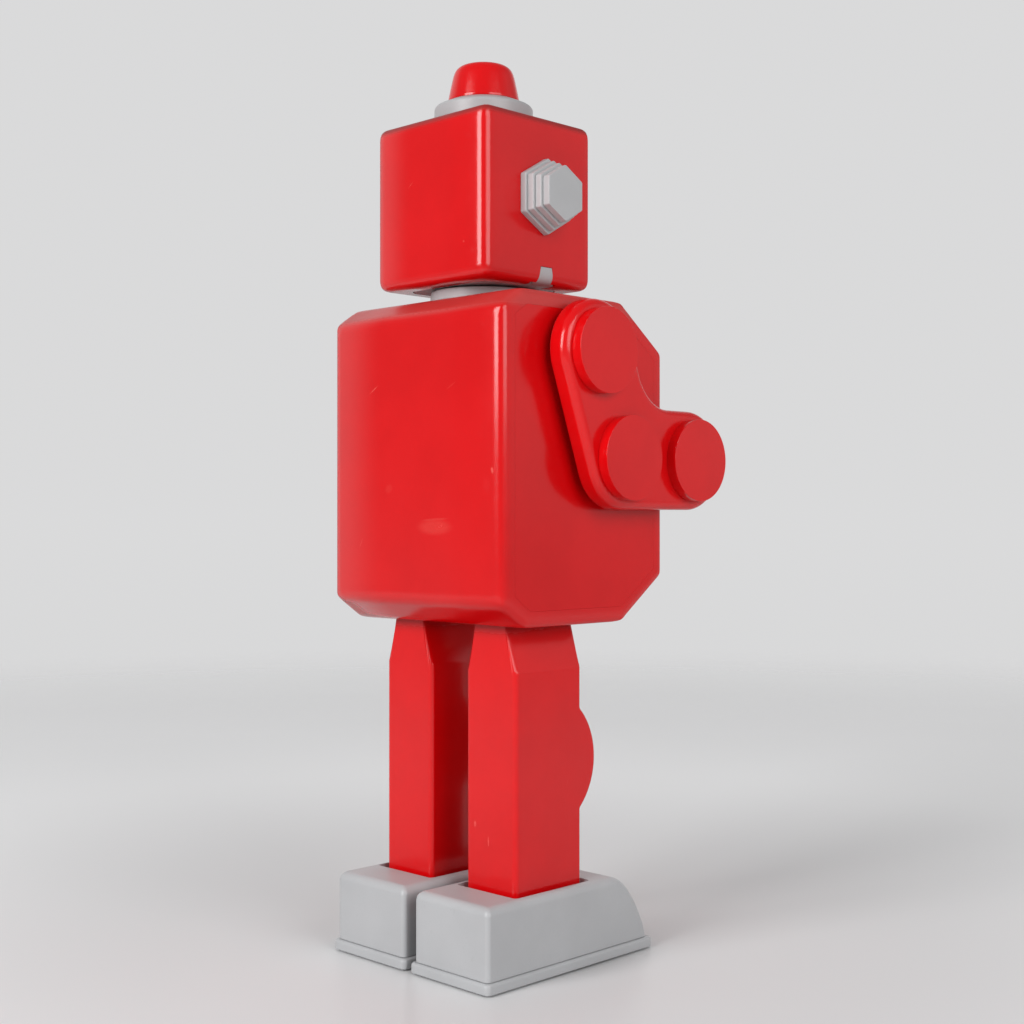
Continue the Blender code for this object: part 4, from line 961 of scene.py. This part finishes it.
# painted light: the floor is painted paler from 75 mm to 250 mm out, lifting the falloff and the robot's cast shadow
fc = blend_rgb(ft, remap(ft, dist, 0.075, 0.250, 0.0, 1.0, True), fc, (0.97, 0.97, 0.975))
# painted shadow: a dark contact patch painted on the floor under the robot
fc = blend_rgb(ft, remap(ft, dist, 0.036, 0.015, 0.0, 1.0, True), fc, (0.36, 0.355, 0.355))
ft.links.new(fc, fb.inputs["Base Color"])
ft.links.new(remap(ft, n, 0.3, 0.7, 0.28, 0.32), fb.inputs["Roughness"])
fade = remap(ft, dist, 0.30, 0.80, 0.0, 1.0, True)
clear = nd(ft, "ShaderNodeBsdfTransparent")
mix = nd(ft, "ShaderNodeMixShader", {0: fade, 1: fb.outputs[0], 2: clear.outputs[0]})
ft.links.new(mix.outputs[0], ft.nodes["Material Output"].inputs["Surface"])
bm = bmesh.new()
bmesh.ops.create_circle(bm, cap_ends=True, radius=FLOOR_R, segments=96)
me = bpy.data.meshes.new("floor")
bm.to_mesh(me)
bm.free()
me.materials.append(fm)
floor = bpy.data.objects.new("floor", me)
scene.collection.objects.link(floor)

# ---------------------------------------------------------------------- world
# pale behind the robot as the camera sees it, dimmer to the sides and overhead
world = bpy.data.worlds.new("studio")
scene.world = world
world.use_nodes = True
wt = world.node_tree
bg = wt.nodes["Background"]
wco = nd(wt, "ShaderNodeTexCoord").outputs["Generated"]
sep = nd(wt, "ShaderNodeSeparateXYZ", {0: wco})
toward = nd(wt, "ShaderNodeVectorMath", {0: wco, 1: (0.891, -0.454, 0.0)}, operation="DOT_PRODUCT").outputs["Value"]
az = remap(wt, toward, 0.40, 0.70, 0.0, 1.0, True)
zz = sep.outputs["Z"]
flank = nd(wt, "ShaderNodeVectorMath", {0: wco, 1: (-0.755, -0.656, 0.0)}, operation="DOT_PRODUCT").outputs["Value"]
side = calc(wt, "ADD", remap(wt, zz, 0.25, 0.95, 0.30, 0.26, True), remap(wt, flank, 0.72, 0.95, 0.0, 0.34, True))
pale = remap(wt, zz, 0.35, 0.95, 0.700, 0.36, True)
up_val = nd(wt, "ShaderNodeMix", {0: az, 2: side, 3: pale}, data_type="FLOAT").outputs[0]
low_val = nd(wt, "ShaderNodeMix", {0: az, 2: 0.46, 3: remap(wt, zz, -0.30, 0.0, 0.65, 0.705)}, data_type="FLOAT").outputs[0]
below = remap(wt, zz, 0.03, -0.03, 0.0, 1.0, True)
val = nd(wt, "ShaderNodeMix", {0: below, 2: up_val, 3: low_val}, data_type="FLOAT").outputs[0]
tint = nd(wt, "ShaderNodeCombineColor", {0: val, 1: val, 2: calc(wt, "MULTIPLY", val, 1.006)})
wt.links.new(tint.outputs[0], bg.inputs["Color"])
bg.inputs["Strength"].default_value = 1.0

# --------------------------------------------------------------------- lights
CENTRE = Vector((0.0, 0.0065, 0.10))


def linked(name, state):
    """A collection that makes a light take in the floor only, or leave it out."""
    coll = bpy.data.collections.new(name)
    coll.objects.link(floor)
    for entry in coll.collection_objects:
        entry.light_linking.link_state = state
    return coll


FLOOR_ONLY, NOT_FLOOR = linked("floor_only", "INCLUDE"), linked("not_floor", "EXCLUDE")


def lamp(name, azim, elev, dist, w, h, radiance, takes, gloss=True):
    """A rectangular soft light. azim is the angle in the floor plane from +X."""
    a, e = math.radians(azim), math.radians(elev)
    d = Vector((math.cos(a) * math.cos(e), math.sin(a) * math.cos(e), math.sin(e)))
    li = bpy.data.lights.new(name, "AREA")
    li.shape = "RECTANGLE"
    li.size, li.size_y = w, h
    li.energy = radiance * w * h * math.pi
    ob = bpy.data.objects.new(name, li)
    ob.location = CENTRE + d * dist
    ob.rotation_euler = (-d).to_track_quat("-Z", "Y").to_euler()
    scene.collection.objects.link(ob)
    ob.visible_camera = False
    ob.visible_glossy = gloss
    ob.light_linking.receiver_collection = takes
    return ob


# each strip lights the floor without a glare on it, and a broad fill opens the front
lamp("key_strip", 88.0, 22, 1.1, 0.50, 0.66, 9.9, NOT_FLOOR)
lamp("key_floor", 88.0, 22, 1.1, 0.50, 0.66, 9.9, FLOOR_ONLY, False)
lamp("side_strip", 174.0, 22, 1.1, 0.72, 0.66, 3.9, NOT_FLOOR)
lamp("side_floor", 174.0, 22, 1.1, 0.72, 0.66, 3.9, FLOOR_ONLY, False)
lamp("front_fill", 290.0, 20, 1.1, 0.70, 0.70, 2.6, NOT_FLOOR, False)

# --------------------------------------------------------------------- camera
cam_data = bpy.data.cameras.new("camera")
cam_data.sensor_fit = "HORIZONTAL"
cam_data.sensor_width = 36.0
cam_data.lens = 53.625
cam_data.clip_start = 0.01
cam_data.clip_end = 50.0
cam = bpy.data.objects.new("camera", cam_data)
scene.collection.objects.link(cam)
right = Vector((-0.709826, -0.704378, 0.0))
up = Vector((-0.001788, 0.001802, 0.999997))
fwd = Vector((0.704375, -0.709823, 0.002538))
cam.matrix_world = Matrix((
    (right.x, up.x, -fwd.x, -0.246667),
    (right.y, up.y, -fwd.y, 0.249774),
    (right.z, up.z, -fwd.z, 0.098091),
    (0, 0, 0, 1)))
scene.camera = cam
scene.view_settings.view_transform = "Standard"

bpy.context.view_layer.update()
